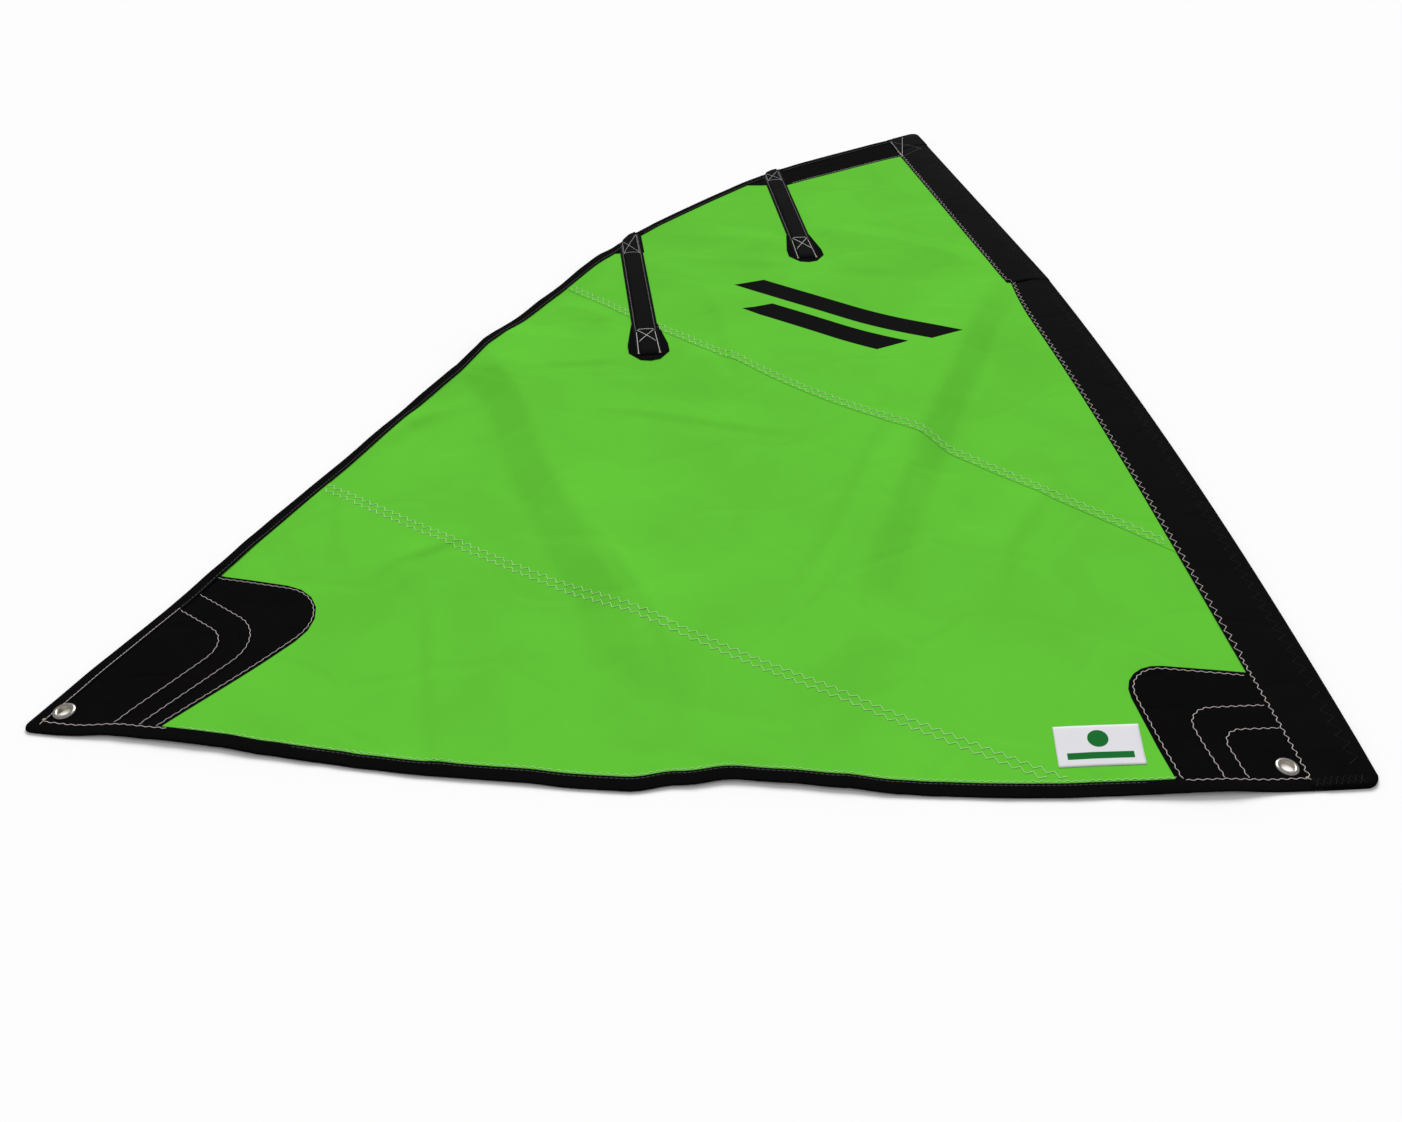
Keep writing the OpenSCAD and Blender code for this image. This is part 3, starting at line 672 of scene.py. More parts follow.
def finish_mesh(name, bm, material, replaced=(), body="sail", sharp=35):
    """Turns a bmesh into a smooth-shaded piece that rides on a body."""
    mesh = bpy.data.meshes.new(name)
    bm.to_mesh(mesh)
    bm.free()
    mesh.shade_smooth()
    mesh.set_sharp_from_angle(angle=math.radians(sharp))
    piece = bpy.data.objects.new(name, mesh)
    bpy.context.scene.collection.objects.link(piece)
    mesh.materials.append(material)
    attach(piece, body)
    if replaced:
        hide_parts(*replaced)
    return piece


def solid_of(node, whole_faces=True):
    """A CAD node's mesh with its corners joined and, if wanted, its flat faces whole."""
    bm = bmesh.new()
    bm.from_mesh(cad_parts[node].data)
    bmesh.ops.remove_doubles(bm, verts=bm.verts, dist=1e-6)
    if whole_faces:
        flat = math.radians(0.02)
        bmesh.ops.dissolve_limit(bm, angle_limit=flat, verts=bm.verts, edges=bm.edges)
    return bm


def cut_in_cells(bm):
    """Cuts a sheet along a square grid so that it can bend."""
    cell = sizes().cell
    for axis in (0, 1):
        low = min(v.co[axis] for v in bm.verts)
        high = max(v.co[axis] for v in bm.verts)
        for k in range(math.ceil(low / cell), math.floor(high / cell) + 1):
            at, across = Vector((0, 0, 0)), Vector((0, 0, 0))
            at[axis] = k * cell
            across[axis] = 1
            bmesh.ops.bisect_plane(bm, geom=bm.verts[:] + bm.edges[:] + bm.faces[:], dist=1e-6,
                                   plane_co=at, plane_no=across)


def from_tack(v):
    """A vertex's place in millimetres from the tack corner."""
    return v.co.x / MM - EYELET_AFT, v.co.y / MM + EYELET_UP


def lay(bm, extra):
    """Lets a flat sheet follow the folds, with extra millimetres of height."""
    for v in bm.verts:
        x, y = from_tack(v)
        v.co = place_cloth(x, y, v.co.z / MM + lift(x, y) + extra)


def band_to_pocket(bm):
    """Carries the head band's lower corner on to the side of the upper pocket."""
    corner = UPPER_MOUTH + BAND_DOWN * BAND_END_W
    edge = (corner - HEAD - BAND_DOWN * BAND_W).normalized()
    moved = edge * ((UPPER_MOUTH.x + POCKET_W / 2 - 1 - corner.x) / edge.x) * MM
    for v in bm.verts:
        if (Vector(from_tack(v)) - corner).length < 1:
            v.co.x += moved.x
            v.co.y += moved.y


def flat_sheet(node, material, extra=0.0):
    """A sheet cut to a CAD node's outline that lies in the folds."""
    bm = solid_of(node)
    if node == "head_band":
        band_to_pocket(bm)
    cut_in_cells(bm)
    lay(bm, extra)
    piece = finish_mesh(node + "_cloth", bm, material, (node,))


def strip_piece(node, cells, shape, material, thickness,
                sharp=60):
    """A strip of cloth in the place of a CAD node. shape(s, t) gives a point in millimetres and a
    UV in metres, for s from 0 to 1 across and t from 0 to 1 along."""
    bm = bmesh.new()
    layer = bm.loops.layers.uv.new("weave")
    bmesh.ops.create_grid(bm, x_segments=cells[0], y_segments=cells[1], size=0.5)
    uvs = {}
    for v in bm.verts:
        point, uvs[v.index] = shape(min(1, max(0, v.co.x + 0.5)), min(1, max(0, v.co.y + 0.5)))
        v.co = place_cloth(*point)
    for face in bm.faces:
        for loop in face.loops:
            loop[layer].uv = uvs[loop.vert.index]
    piece = finish_mesh(node + "_cloth", bm, material, (node,), sharp=sharp)
    wall = piece.modifiers.new("cloth_thickness", "SOLIDIFY")
    wall.thickness = thickness * MM
    wall.offset = 0
    wall.use_even_offset = True


# ------------------------------------------------------------------ the sleeve

FOLD_R = 1.9
TOP_SHARE = 0.5
FOLD_SHARE = 0.62
JOINT_LAP = 9
UPPER_GROW = 0.35
CAP_GROW = 0.9
SHUT_Z = 2.3
SHUT_RUN = 26
FOOT_Z = 2.6
FOOT_RUN = 45
MID_SLEEVE = (-30, 30)
FOOT_CORNER_R = 15
HEAD_CORNER_R = 20
CAP_UP = 1712
CAP_SLANT = 28


def tube_section(s, width, puff, grow):
    """Distance from the sewn edge, height, and length of cloth used, at share s of the way
    round: over the top, round the luff and back underneath."""
    reach = width - FOLD_R
    low, high = FLOOR_GAP, FLOOR_GAP + 2 * FOLD_R + grow
    if s <= TOP_SHARE:
        a = reach * s / TOP_SHARE
        if a < SEWN_EDGE:
            return a, FLANGE_Z + grow, a
        q = (a - SEWN_EDGE) / (reach - SEWN_EDGE)
        crest = puff * math.sin(math.pi * q) ** 0.8
        return a, mix(FLANGE_Z + grow, high, smooth(q * 1.6)) + crest, a
    if s <= FOLD_SHARE:
        angle = math.pi * (0.5 - (s - TOP_SHARE) / (FOLD_SHARE - TOP_SHARE))
        half = (high - low) / 2
        return reach + (FOLD_R + grow) * math.cos(angle), low + half + half * math.sin(angle), reach
    a = reach * (1 - (s - FOLD_SHARE) / (1 - FOLD_SHARE))
    return a, low, 2 * reach - a


def sleeve_puff(y):
    """How far the empty sleeve stands up at a height up the luff."""
    return sizes().sleeve_puff / MM * (0.75 + 0.6 * waves(y / 95, 1.7, 0.4))


def sleeve_ripple(a, y, width):
    """Small ripples of the sleeve's top, none at its two edges."""
    full = math.sin(math.pi * min(1, max(0, (a - SEWN_EDGE) / (width - SEWN_EDGE))))
    return 0.75 * full * waves(y / 26, a / 60, 5.2)


def corner_round(from_luff, radius):
    """How far a rounded corner falls back from its sharp end."""
    d = radius - min(radius, max(0.0, from_luff))
    return radius - math.sqrt(max(0.0, radius * radius - d * d))


def foot_line(x, from_luff):
    return foot_y(x) + corner_round(from_luff, FOOT_CORNER_R)


def joint_line(x, from_luff):
    return JOINT_UP


def upper_start_line(x, from_luff):
    return JOINT_UP - JOINT_LAP


def head_line(x, from_luff):
    slope = (HEAD.y - UPPER_MOUTH.y) / (HEAD.x - UPPER_MOUTH.x)
    return HEAD.y + slope * min(x, 0) - 0.8 * corner_round(from_luff, HEAD_CORNER_R)


def cap_line(x, from_luff):
    return CAP_UP + CAP_SLANT * (x + UPPER_SLEEVE_W) / UPPER_SLEEVE_W


def sleeve_piece(node, low_line, high_line, width_at, grow, rows, shut):
    """A length of sleeve between two lines across it, grown to lie over what is under it."""

    def shape(s, t):
        y = mix(low_line(*MID_SLEEVE), high_line(*MID_SLEEVE), t)
        for _ in range(4):
            width = width_at(y) + grow
            a, z, run = tube_section(s, width, sleeve_puff(y), grow)
            x = luff_x(y) + grow - width + a
            low, high = low_line(x, width - a), high_line(x, width - a)
            y = mix(low, high, t)
        if s < FOLD_SHARE:
            z += sleeve_ripple(a, y, width)
            if shut:
                z = mix(min(z, SHUT_Z + grow), z, smooth((high - y) / SHUT_RUN))
            if low_line is foot_line:
                z = mix(min(z, FOOT_Z), z, smooth((y - low) / FOOT_RUN))
        z = max(FLOOR_GAP, z) + lift(x, y)
        return (x, y, z), (run * MM, y * MM)

    length = (high_line(*MID_SLEEVE) - low_line(*MID_SLEEVE)) * MM
    strip_piece(node, (50, rows), shape, cloth("black_sleeve_cloth"), 0.5)


class SAIL_OT_sleeve(bpy.types.Operator):
    """Lay the two lengths of mast sleeve along the luff and cap the upper one at the head"""

    bl_idname = "sail.sleeve"
    bl_label = "Mast sleeve"

    def execute(self, context):
        for values in (
                ("mast_sleeve_lower", foot_line, joint_line, lower_width, 0.0, 150, False),
                ("mast_sleeve_upper", upper_start_line, head_line, upper_width, UPPER_GROW, 110, True),
                ("sleeve_head_cap", cap_line, head_line, upper_width, CAP_GROW, 24, True)):
            sleeve_piece(*values)
        return {"FINISHED"}


# ------------------------------------------------------------------ the panels and patches


class SAIL_OT_panels(bpy.types.Operator):
    """Lay the three green panels in their folds"""

    bl_idname = "sail.panels"
    bl_label = "Panels"

    def execute(self, context):
        for node in ("middle_panel", "head_panel", "clew_panel"):
            flat_sheet(node, cloth("green_sailcloth"))
        return {"FINISHED"}


class SAIL_OT_patches(bpy.types.Operator):
    """Lay the head band, the corner patches and the patches of the pockets"""

    bl_idname = "sail.patches"
    bl_label = "Patches"

    def execute(self, context):
        for under, nodes in (
                ("head_panel_cloth", ("head_band",)),
                ("middle_panel_cloth", ("tack_patch_large", "tack_patch_middle", "tack_patch_small")),
                ("clew_panel_cloth", ("clew_patch_large", "clew_patch_middle", "clew_patch_small")),
                ("head_panel_cloth", ("upper_pocket_end_patch", "lower_pocket_end_patch",
                                      "upper_pocket_mouth_patch", "lower_pocket_mouth_patch"))):
            for node in nodes:
                extra = 0.2 if "small" in node else 0.12 if "middle" in node else 0.05
                flat_sheet(node, cloth("black_patch_cloth"), extra)
        return {"FINISHED"}


# ------------------------------------------------------------------ the binding tapes

TAPE_CELLS = 24
TAPE_TOP_END = 10 / TAPE_CELLS
TAPE_FOLD_END = 14 / TAPE_CELLS
TAPE_Z = 2.05
CLIMB_RUN = 20
CLEW_CLIMB = 0.65
CLEW_CLIMB_FROM = 345
TACK_CLIMB = 0.35
TACK_CLIMB_FROM = 205
CLEW_R = 9
CLEW_HALF = math.radians(37.8)


def tape_top_z(x, y):
    """Height of the tape's upper leg: it climbs over the patches of both corners."""
    from_clew = (Vector((x, y)) - CLEW).length
    from_tack = (Vector((x, y)) - TACK).length
    return TAPE_Z + max(CLEW_CLIMB * smooth((CLEW_CLIMB_FROM - from_clew) / CLIMB_RUN),
                        TACK_CLIMB * smooth((TACK_CLIMB_FROM - from_tack) / CLIMB_RUN))


def clew_round(p):
    """Pulls a point near the sharp clew back to the arc that rounds it."""
    if (p - CLEW).length > CLEW_R / math.tan(CLEW_HALF):
        return p
    to_leech = (leech_side(0.98) - CLEW).normalized()
    to_foot = (foot_side(0.02) - CLEW).normalized()
    centre = CLEW + (to_leech + to_foot).normalized() * CLEW_R / math.sin(CLEW_HALF)
    return centre + (p - centre).normalized() * CLEW_R


def passing(side, start, end, past):
    """The share, between two, at which a side passes the line where past() changes sign."""
    for _ in range(40):
        middle = (start + end) / 2
        if (past(side(middle)) > 0) == (past(side(start)) > 0):
            start = middle
        else:
            end = middle
    return (start + end) / 2


def at_pocket(which, edge, start, end):
    """Finds where a side passes a pocket's edge: 1 for its forward edge and -1 for the other."""
    mouth, lean = POCKETS[which][:2]
    across = Vector((math.cos(lean), math.sin(lean)))
    return lambda side: passing(
        side, start, end, lambda p: (p - mouth).dot(across) - edge * POCKET_W / 2)


def at_sleeve(start, end):
    """Finds where a side passes the sleeve's sewn edge."""
    top = HEAD.y - 1
    return lambda side: passing(
        side, start, end, lambda p: p.x - sleeve_edge_x(max(0.0, min(p.y, top))))


def mitre_at_clew():
    """The inner corner where the tape of the leech meets the tape of the foot."""
    leech_in, foot_in = inset(leech_side, TAPE_W), inset(foot_side, TAPE_W)
    a, b = leech_in(0.99), leech_in(1.0)
    c, d = foot_in(0.0), foot_in(0.01)
    run, other = b - a, d - c
    share = ((c - a).x * other.y - (c - a).y * other.x) / (run.x * other.y - run.y * other.x)
    return a + run * share


def tape_piece(node, side, outer, inner, rows, clew_end, lifted):
    """A folded tape ruled from the sail's edge to the line that it is sewn along. outer and inner
    are its shares of the two; clew_end is 1 where it ends at the clew and -1 where it starts."""
    sewn_side = inset(side, TAPE_W)
    mitre = mitre_at_clew()
    to_clew = (CLEW - side(0.5 + 0.4 * clew_end)).normalized()

    def shape(s, t):
        if clew_end > 0:
            t = 1 - (1 - t) ** 1.5
        elif clew_end < 0:
            t = t ** 1.5
        o = side(mix(*outer, t))
        i = sewn_side(mix(*inner, t))
        if clew_end:
            o = clew_round(o)
            if (i - mitre).dot(to_clew) > 0:
                i = mitre
        width = (i - o).length
        z_top = tape_top_z(o.x, o.y) + lifted
        r = (z_top - FLOOR_GAP) / 2
        if s <= TAPE_TOP_END:
            d = mix(width, r, s / TAPE_TOP_END)
            z = z_top + 0.3 * math.sin(math.pi * d / width)
            run = width - d
        elif s <= TAPE_FOLD_END:
            angle = math.pi * (0.5 - (s - TAPE_TOP_END) / (TAPE_FOLD_END - TAPE_TOP_END))
            d, z, run = r - r * math.cos(angle), FLOOR_GAP + r + r * math.sin(angle), width
        else:
            d = mix(r, width, (s - TAPE_FOLD_END) / (1 - TAPE_FOLD_END))
            z, run = FLOOR_GAP, width + d
        p = o + (i - o) * (d / width)
        if s < TAPE_TOP_END:
            z += 0.12 * waves(p.x / 9, p.y / 9, 4.4)
        z = max(FLOOR_GAP, z) + lift(p.x, p.y)
        return (p.x, p.y, z), (run * MM, t * (side(1) - side(0)).length * MM)

    length = (side(outer[1]) - side(outer[0])).length
    strip_piece(node, (TAPE_CELLS, rows), shape, cloth("black_binding_tape"), 0.45)


class SAIL_OT_binding(bpy.types.Operator):
    """Fold the binding tape over the leech and the foot"""

    bl_idname = "sail.binding"
    bl_label = "Binding tape"

    def execute(self, context):
        for node, side, start, end, rows, clew_end, lifted in (
                ("leech_tape_upper", head_side, at_sleeve(0, 0.5),
                 at_pocket("upper", 1, 0.5, 1.2), 40, 0, 0.0),
                ("leech_tape_middle", roach_side, at_pocket("upper", -1, -0.2, 0.5),
                 at_pocket("lower", 1, 0.5, 1.2), 50, 0, 0.0),
                ("leech_tape_lower", leech_side, at_pocket("lower", -1, -0.2, 0.5),
                 lambda side: 1.0, 150, 1, 0.12),
                ("foot_tape", foot_side, lambda side: 0.0, at_sleeve(0.6, 1.0), 150, -1, 0.0)):
            outer, inner = [(start(line), end(line)) for line in (side, inset(side, TAPE_W))]
            tape_piece(node, side, outer, inner, rows, clew_end, lifted)
        return {"FINISHED"}


# ------------------------------------------------------------------ pockets and battens

RIDGE_FLAT = 11.2
RIDGE_FOOT = 14.2
STRIP_Z = 2.05
RIDGE_Z = 5.0


def ridge(u, v, deep):
    """Height of the pocket's strip: a flat-topped ridge over the batten, flat at its inner end."""
    side = 1 - smooth((abs(u) - RIDGE_FLAT) / (RIDGE_FOOT - RIDGE_FLAT))
    end = smooth((v + deep - 1) / 9)
    crown = 0.35 * (1 - (u / RIDGE_FLAT) ** 2) if abs(u) < RIDGE_FLAT else 0.0
    return STRIP_Z + (RIDGE_Z - STRIP_Z + crown) * side * end


def pocket_point(which, u, v, over=0.0):
    """A point over a pocket's strip, u across it and v up it from the mouth, before the folds."""
    p = on_pocket(which, u, v)
    return (p.x, p.y, ridge(u, v, POCKETS[which].deep) + over)


def mouth_line(which, u):
    """Where the leech trims a pocket at u across it."""
    return u * (POCKETS[which].ahead if u > 0 else POCKETS[which].aft)


class SAIL_OT_pockets(bpy.types.Operator):
    """Sew the strips of the two batten pockets over their battens"""

    bl_idname = "sail.pockets"
    bl_label = "Batten pockets"

    def execute(self, context):
        for which, pocket in POCKETS.items():

            def shape(s, t, which=which, deep=pocket.deep):
                u = (s - 0.5) * POCKET_W
                v = mix(-deep, mouth_line(which, u), t)
                x, y, z = pocket_point(which, u, v)
                z += 0.12 * waves(x / 14, y / 14, 6.6)
                return (x, y, z + lift(x, y)), (u * MM, v * MM)

            strip_piece(which + "_batten_pocket", (32, 90), shape, cloth("black_pocket_tape"),
                        0.45)
        return {"FINISHED"}


class SAIL_OT_battens(bpy.types.Operator):
    """Finish the battens and their tips"""

    bl_idname = "sail.battens"
    bl_label = "Battens"

    def execute(self, context):
        laminate = kept_material("fibreglass_laminate", build_strip, (0.62, 0.66, 0.55), 0.35, 0.12)
        moulded = kept_material("moulded_tip", build_strip, (0.05, 0.052, 0.058), 0.5, 0.05)
        for body in ("upper_batten", "lower_batten"):
            for node, material, slot, edge in ((body, laminate, "fibreglass", 0.0003),
                                               (body + "_tips", moulded, "tip_plastic", 0.0004)):
                bm = solid_of(node)
                sharp = [e for e in bm.edges if e.is_manifold and e.calc_face_angle(0) > 0.9]
                bmesh.ops.bevel(bm, geom=sharp, offset=edge, offset_type="OFFSET", segments=2,
                                profile=0.5, affect="EDGES", material=-1, clamp_overlap=True)
                finish_mesh(node + "_strip", bm, material, (node,), body)
        return {"FINISHED"}


# ------------------------------------------------------------------ eyelets, label and print


class SAIL_OT_eyelets(bpy.types.Operator):
    """Finish the eyelets and their washers in nickel"""

    bl_idname = "sail.eyelets"
    bl_label = "Eyelets"

    def execute(self, context):
        # The nickel colour carries a painted dark reflection: it is darker than real plate so that it
        # does not mirror the all-white sky.
        nickel = kept_material("nickel_plate", build_metal, "nickel", 0.24)
        barrel = kept_material("barrel_wall", build_metal, (0.60, 0.52, 0.40), 0.4)
        for corner, at in (("tack_eyelet", TACK_EYELET), ("clew_eyelet", CLEW_EYELET)):
            middle = place(at.x, at.y, 0)
            for node in (corner, corner + "_washer"):
                bm = solid_of(node, whole_faces=False)
                piece = finish_mesh(node + "_metal", bm, nickel, (node,), sharp=40)
                piece.data.materials.append(barrel)
                for face in piece.data.polygons:
                    if (face.center - middle).to_2d().length / MM < BORE_R + 0.25:
                        face.material_index = 1
        return {"FINISHED"}


LABEL_CORNERS = (Vector((-295, 51)), Vector((-210, 46)), Vector((-284, 101)), Vector((-198, 97)))


class SAIL_OT_label(bpy.types.Operator):
    """Sew on the label and lay the printed bars"""

    bl_idname = "sail.label"
    bl_label = "Label and print"

    def execute(self, context):
        a, b, c, d = LABEL_CORNERS

        def shape(s, t):
            p = mix(mix(a, b, s), mix(c, d, s), t)
            edge = min(s, 1 - s, t, 1 - t)
            z = PANEL_TOP - 0.2 + 0.25 * smooth(edge / 0.12)
            z += 0.25 * waves(p.x / 20, p.y / 20, 2.2)
            return (p.x, p.y, z + lift(p.x, p.y)), (s * LABEL_W, t * LABEL_H)

        woven = kept_material("woven_label", build_label, from_uv=True)
        strip_piece("label", (30, 18), shape, woven, 0.3,
                    sharp=35)
        bm = solid_of("printed_mark")
        cut_in_cells(bm)
        lay(bm, 0.12)
        ink = cloth("printed_ink")
        piece = finish_mesh("printed_bars", bm, ink, ("printed_mark",))
        return {"FINISHED"}


# ------------------------------------------------------------------ stitches


def spaced(line, step):
    """Points at even steps along a line of 2D points, with the direction at each."""
    out = []
    left = 0.0
    for a, b in zip(line, line[1:]):
        length = (b - a).length
        if length < 1e-6:
            continue
        along = (b - a) / length
        d = left
        while d < length:
            out.append((a + along * d, along))
            d += step
        left = d - length
    return out


def dense(line, step):
    return [p for p, along in spaced(line, step)]


def samples(side, start, end, count):
    return [side(mix(start, end, k / count)) for k in range(count + 1)]


def shifted(line, off):
    """A line of points moved to its left by off."""
    out = []
    for k, p in enumerate(line):
        a, b = line[max(0, k - 1)], line[min(len(line) - 1, k + 1)]
        out.append(p + left_of((b - a).normalized()) * off)
    return out


def up_luff(x_at, off, low, high, count=80):
    """A line up the sail at off millimetres ahead of what x_at gives."""
    ys = [mix(low, high, k / count) for k in range(count + 1)]
    return [Vector((x_at(y) + off, y)) for y in ys]


def set_down(points, height):
    """Puts 2D points at their heights."""
    return [Vector((p.x, p.y, height(p.x, p.y))) for p in points]


def zigzag(line, pitch, swing, height, flip=False):
    """A zigzag along a line: height(x, y) is the cloth under it."""
    return set_down([p + left_of(along) * (swing if (k % 2 == 0) != flip else -swing)
                     for k, (p, along) in enumerate(spaced(line, pitch / 2))], height)


def wavy(line, pitch, swing, height):
    """A soft wave along a line, as a pulled straight stitch lies."""
    return set_down([p + left_of(along) * swing * math.sin(2 * math.pi * k / 6)
                     for k, (p, along) in enumerate(spaced(line, pitch / 6))], height)


def dashes(line, pitch, share, height):
    """Separate short stitches along a line, each a little arch into the cloth."""
    runs = []
    for a, along in spaced(line, pitch):
        b = a + along * pitch * share
        runs.append([Vector((p.x, p.y, height(p.x, p.y) + rise))
                     for p, rise in zip((a, (a + b) / 2, b), (-0.25, 0.12, -0.25))])
    return runs


def thread_piece(name, runs, material, radius=None):
    """Sews runs of points as one piece of round thread, its radius in millimetres."""
    curve_data = bpy.data.curves.new(name, "CURVE")
    curve_data.dimensions = "3D"
    curve_data.bevel_depth = radius * MM if radius else sizes().thread_r
    curve_data.bevel_resolution = 1
    curve_data.use_fill_caps = True
    for run in runs:
        spline = curve_data.splines.new("POLY")
        spline.points.add(len(run) - 1)
        for point, p in zip(spline.points, run):
            point.co = (*place_cloth(p.x, p.y, p.z), 1)
    holder = bpy.data.objects.new(name + "_path", curve_data)
    bpy.context.scene.collection.objects.link(holder)
    bpy.context.view_layer.update()
    graph = bpy.context.evaluated_depsgraph_get()
    mesh = bpy.data.meshes.new_from_object(holder.evaluated_get(graph))
    bpy.data.objects.remove(holder)
    bpy.data.curves.remove(curve_data)
    bm = bmesh.new()
    bm.from_mesh(mesh)
    bpy.data.meshes.remove(mesh)
    finish_mesh(name, bm, thread(material), sharp=60)


def over(top):
    """The height of a thread over cloth whose own top is at top."""
    return lambda x, y: top + lift(x, y)


def over_tape(x, y):
    return tape_top_z(x, y) + 0.75 + lift(x, y)


over_sleeve_edge = over(FLANGE_Z + 0.5)


def sleeve_top(x, y):
    """Height of the sleeve's upper cloth, for what is sewn on it."""
    width = sleeve_width(y)
    a = x - (luff_x(y) - width)
    s = TOP_SHARE * min(1.0, max(0.0, a / (width - FOLD_R)))
    grow = UPPER_GROW if y > JOINT_UP - JOINT_LAP else 0.0
    z = tube_section(s, width, sleeve_puff(y), grow)[1]
    z += sleeve_ripple(a, y, width)
    z = mix(min(z, FOOT_Z), z, smooth((y - foot_line(x, 60)) / FOOT_RUN))
    return z + 0.3 + lift(x, y)


def on_panel(p):
    """True where a point is on open cloth, clear of the tapes and the sleeve."""
    return from_leech(p) > 19 and from_foot(p) > 20 and p.x < sleeve_edge_x(p.y) - 4


def inside_tapes(p):
    """True where a point is inside the sewn line of the leech and foot tapes."""
    return from_leech(p) > 12.5 and from_foot(p) > 13


SEAM_ROW_OFF = 4.8
SEAM_PITCH = 12.5
SEAM_SWING = 2.8
SLEEVE_PITCH = 13.5
LUFF_PITCH = 17
HEM_PITCH = 12
STRAIGHT_PITCH = 9.0


class SAIL_OT_seams(bpy.types.Operator):
    """Sew the two rows of zigzag along each seam of the panels"""

    bl_idname = "sail.seams"
    bl_label = "Seam stitches"

    def execute(self, context):
        for name, ends, hollow, stop in (("seam_1_stitches", SEAM_1, 0, 1.0),
                                         ("seam_2_stitches", SEAM_2, SEAM_2_HOLLOW, 0.975)):
            line = samples(curve(*ends, hollow), 0.0, stop, 60)
            runs = []
            for off in (-SEAM_ROW_OFF, SEAM_ROW_OFF):
                row = [p for p in dense(shifted(line, off), 2) if on_panel(p)]
                runs.append(zigzag(row, SEAM_PITCH, SEAM_SWING, over(PANEL_TOP + 0.25), off > 0))
            thread_piece(name, runs, "green_seam_thread", 0.48)
        return {"FINISHED"}


class SAIL_OT_sleeve_stitches(bpy.types.Operator):
    """Sew the sleeve's inner edge, its luff row, its foot hem and the head's cap"""

    bl_idname = "sail.sleeve_stitches"
    bl_label = "Sleeve stitches"

    def execute(self, context):
        lower = [wavy(up_luff(sleeve_edge_x, 3.2, 14, 178), STRAIGHT_PITCH, 1.4, over_sleeve_edge),
                 zigzag(up_luff(sleeve_edge_x, 4.4, 178, 1076), SLEEVE_PITCH, 2.9, over_sleeve_edge)]
        upper_line = up_luff(sleeve_edge_x, 4.2, 1078, 1772)
        upper = [zigzag(upper_line, SLEEVE_PITCH, 2.6, over_sleeve_edge)]
        luff = [zigzag(up_luff(luff_x, -17, 26, 1060), LUFF_PITCH, 5.5, sleeve_top),
                zigzag(up_luff(luff_x, -15, 1092, 1790), LUFF_PITCH, 5.0, sleeve_top)]
        hem_line = [Vector((x, foot_line(x, 60) + 9)) for x in range(-62, -12, 4)]
        hem = [zigzag(hem_line, HEM_PITCH, 4.5, sleeve_top, flip) for flip in (False, True)]
        corners = [Vector(p) for p in ((-66, 1772), (-62, 1680), (-38, 1784), (-15, 1708))]
        cap = []
        for first, last in ((0, 1), (1, 2), (0, 3), (1, 3)):
            line = [mix(corners[first], corners[last], k / 8) for k in range(9)]
            cap.append(set_down(line, lambda x, y: sleeve_top(x, y) + 0.5))
        for name, runs, material, radius in (
                ("lower_sleeve_stitches", lower, "light_thread", 0.4),
                ("upper_sleeve_stitches", upper, "light_thread", 0.4),
                ("luff_stitches", luff, "black_thread", None),
                ("sleeve_hem_stitches", hem, "black_thread", None),
                ("head_cap_stitches", cap[:2], "light_thread", 0.4),
                ("head_cap_dim_stitches", cap[2:], "dim_thread", 0.4)):
            thread_piece(name, runs, material, radius)
        return {"FINISHED"}


class SAIL_OT_edge_stitches(bpy.types.Operator):
    """Sew the binding tapes and the head band along their inner edges"""

    bl_idname = "sail.edge_stitches"
    bl_label = "Edge stitches"

    def execute(self, context):
        near_clew = samples(inset(leech_side, TAPE_SEWN), 0.846, 0.988, 44)
        bright = dashes(near_clew, 4.6, 0.86, over_tape)
        thread_piece("clew_leech_stitches", bright, "light_thread", 0.32)
        rest = []
        for side, start, end, count in ((leech_side, 0.03, 0.843, 120), (roach_side, 0.07, 0.93, 60),
                                        (head_side, 0.2, 0.94, 60), (foot_side, 0.21, 0.83, 120)):
            line = samples(inset(side, TAPE_SEWN), start, end, count)
            rest += dashes(line, 5.0, 0.7, over_tape)
        thread_piece("edge_stitches", rest, "dim_thread", 0.4)
        band_edge = [HEAD + BAND_DOWN * (BAND_W - 3), UPPER_MOUTH + BAND_DOWN * (BAND_END_W - 3)]
        kept = [p for p in dense(band_edge, 1) if UPPER_MOUTH.x + 22 < p.x < -66]
        thread_piece("head_band_stitches", dashes(kept, 7.0, 0.7, over(PATCH_TOP + 0.4)),
                     "pocket_thread", 0.45)
        corner_side, green_side = inset(foot_side, 13.5), inset(foot_side, 18.5)
        rows = [wavy(samples(corner_side, 0.86, 0.948, 30), STRAIGHT_PITCH, 0.75, over_tape),
                wavy(samples(corner_side, 0.014, 0.112, 30), STRAIGHT_PITCH, 0.6, over_tape)]
        thread_piece("foot_corner_stitches", rows, "light_thread", 0.36)
        row = wavy(samples(green_side, 0.12, 0.855, 240), 8.0, 1.0, over(PANEL_TOP + 0.2))
        thread_piece("foot_green_stitches", [row], "green_seam_thread", 0.3)
        return {"FINISHED"}


def nosed_line(side_a, nose, side_b, radius):
    """A line from side_a round the nose to side_b."""
    u, v = (side_a - nose).normalized(), (side_b - nose).normalized()
    half = math.acos(max(-1, min(1, u.dot(v)))) / 2
    centre = nose + (u + v).normalized() * radius / math.sin(half)
    first = nose + u * radius / math.tan(half) - centre
    last = nose + v * radius / math.tan(half) - centre
    start = math.atan2(first.y, first.x)
    turn = (math.atan2(last.y, last.x) - start + 3 * math.pi) % (2 * math.pi) - math.pi
    angles = [start + turn * k / 10 for k in range(11)]
    arc = [centre + Vector((math.cos(angle), math.sin(angle))) * radius for angle in angles]
    return [side_a] + arc + [side_b]


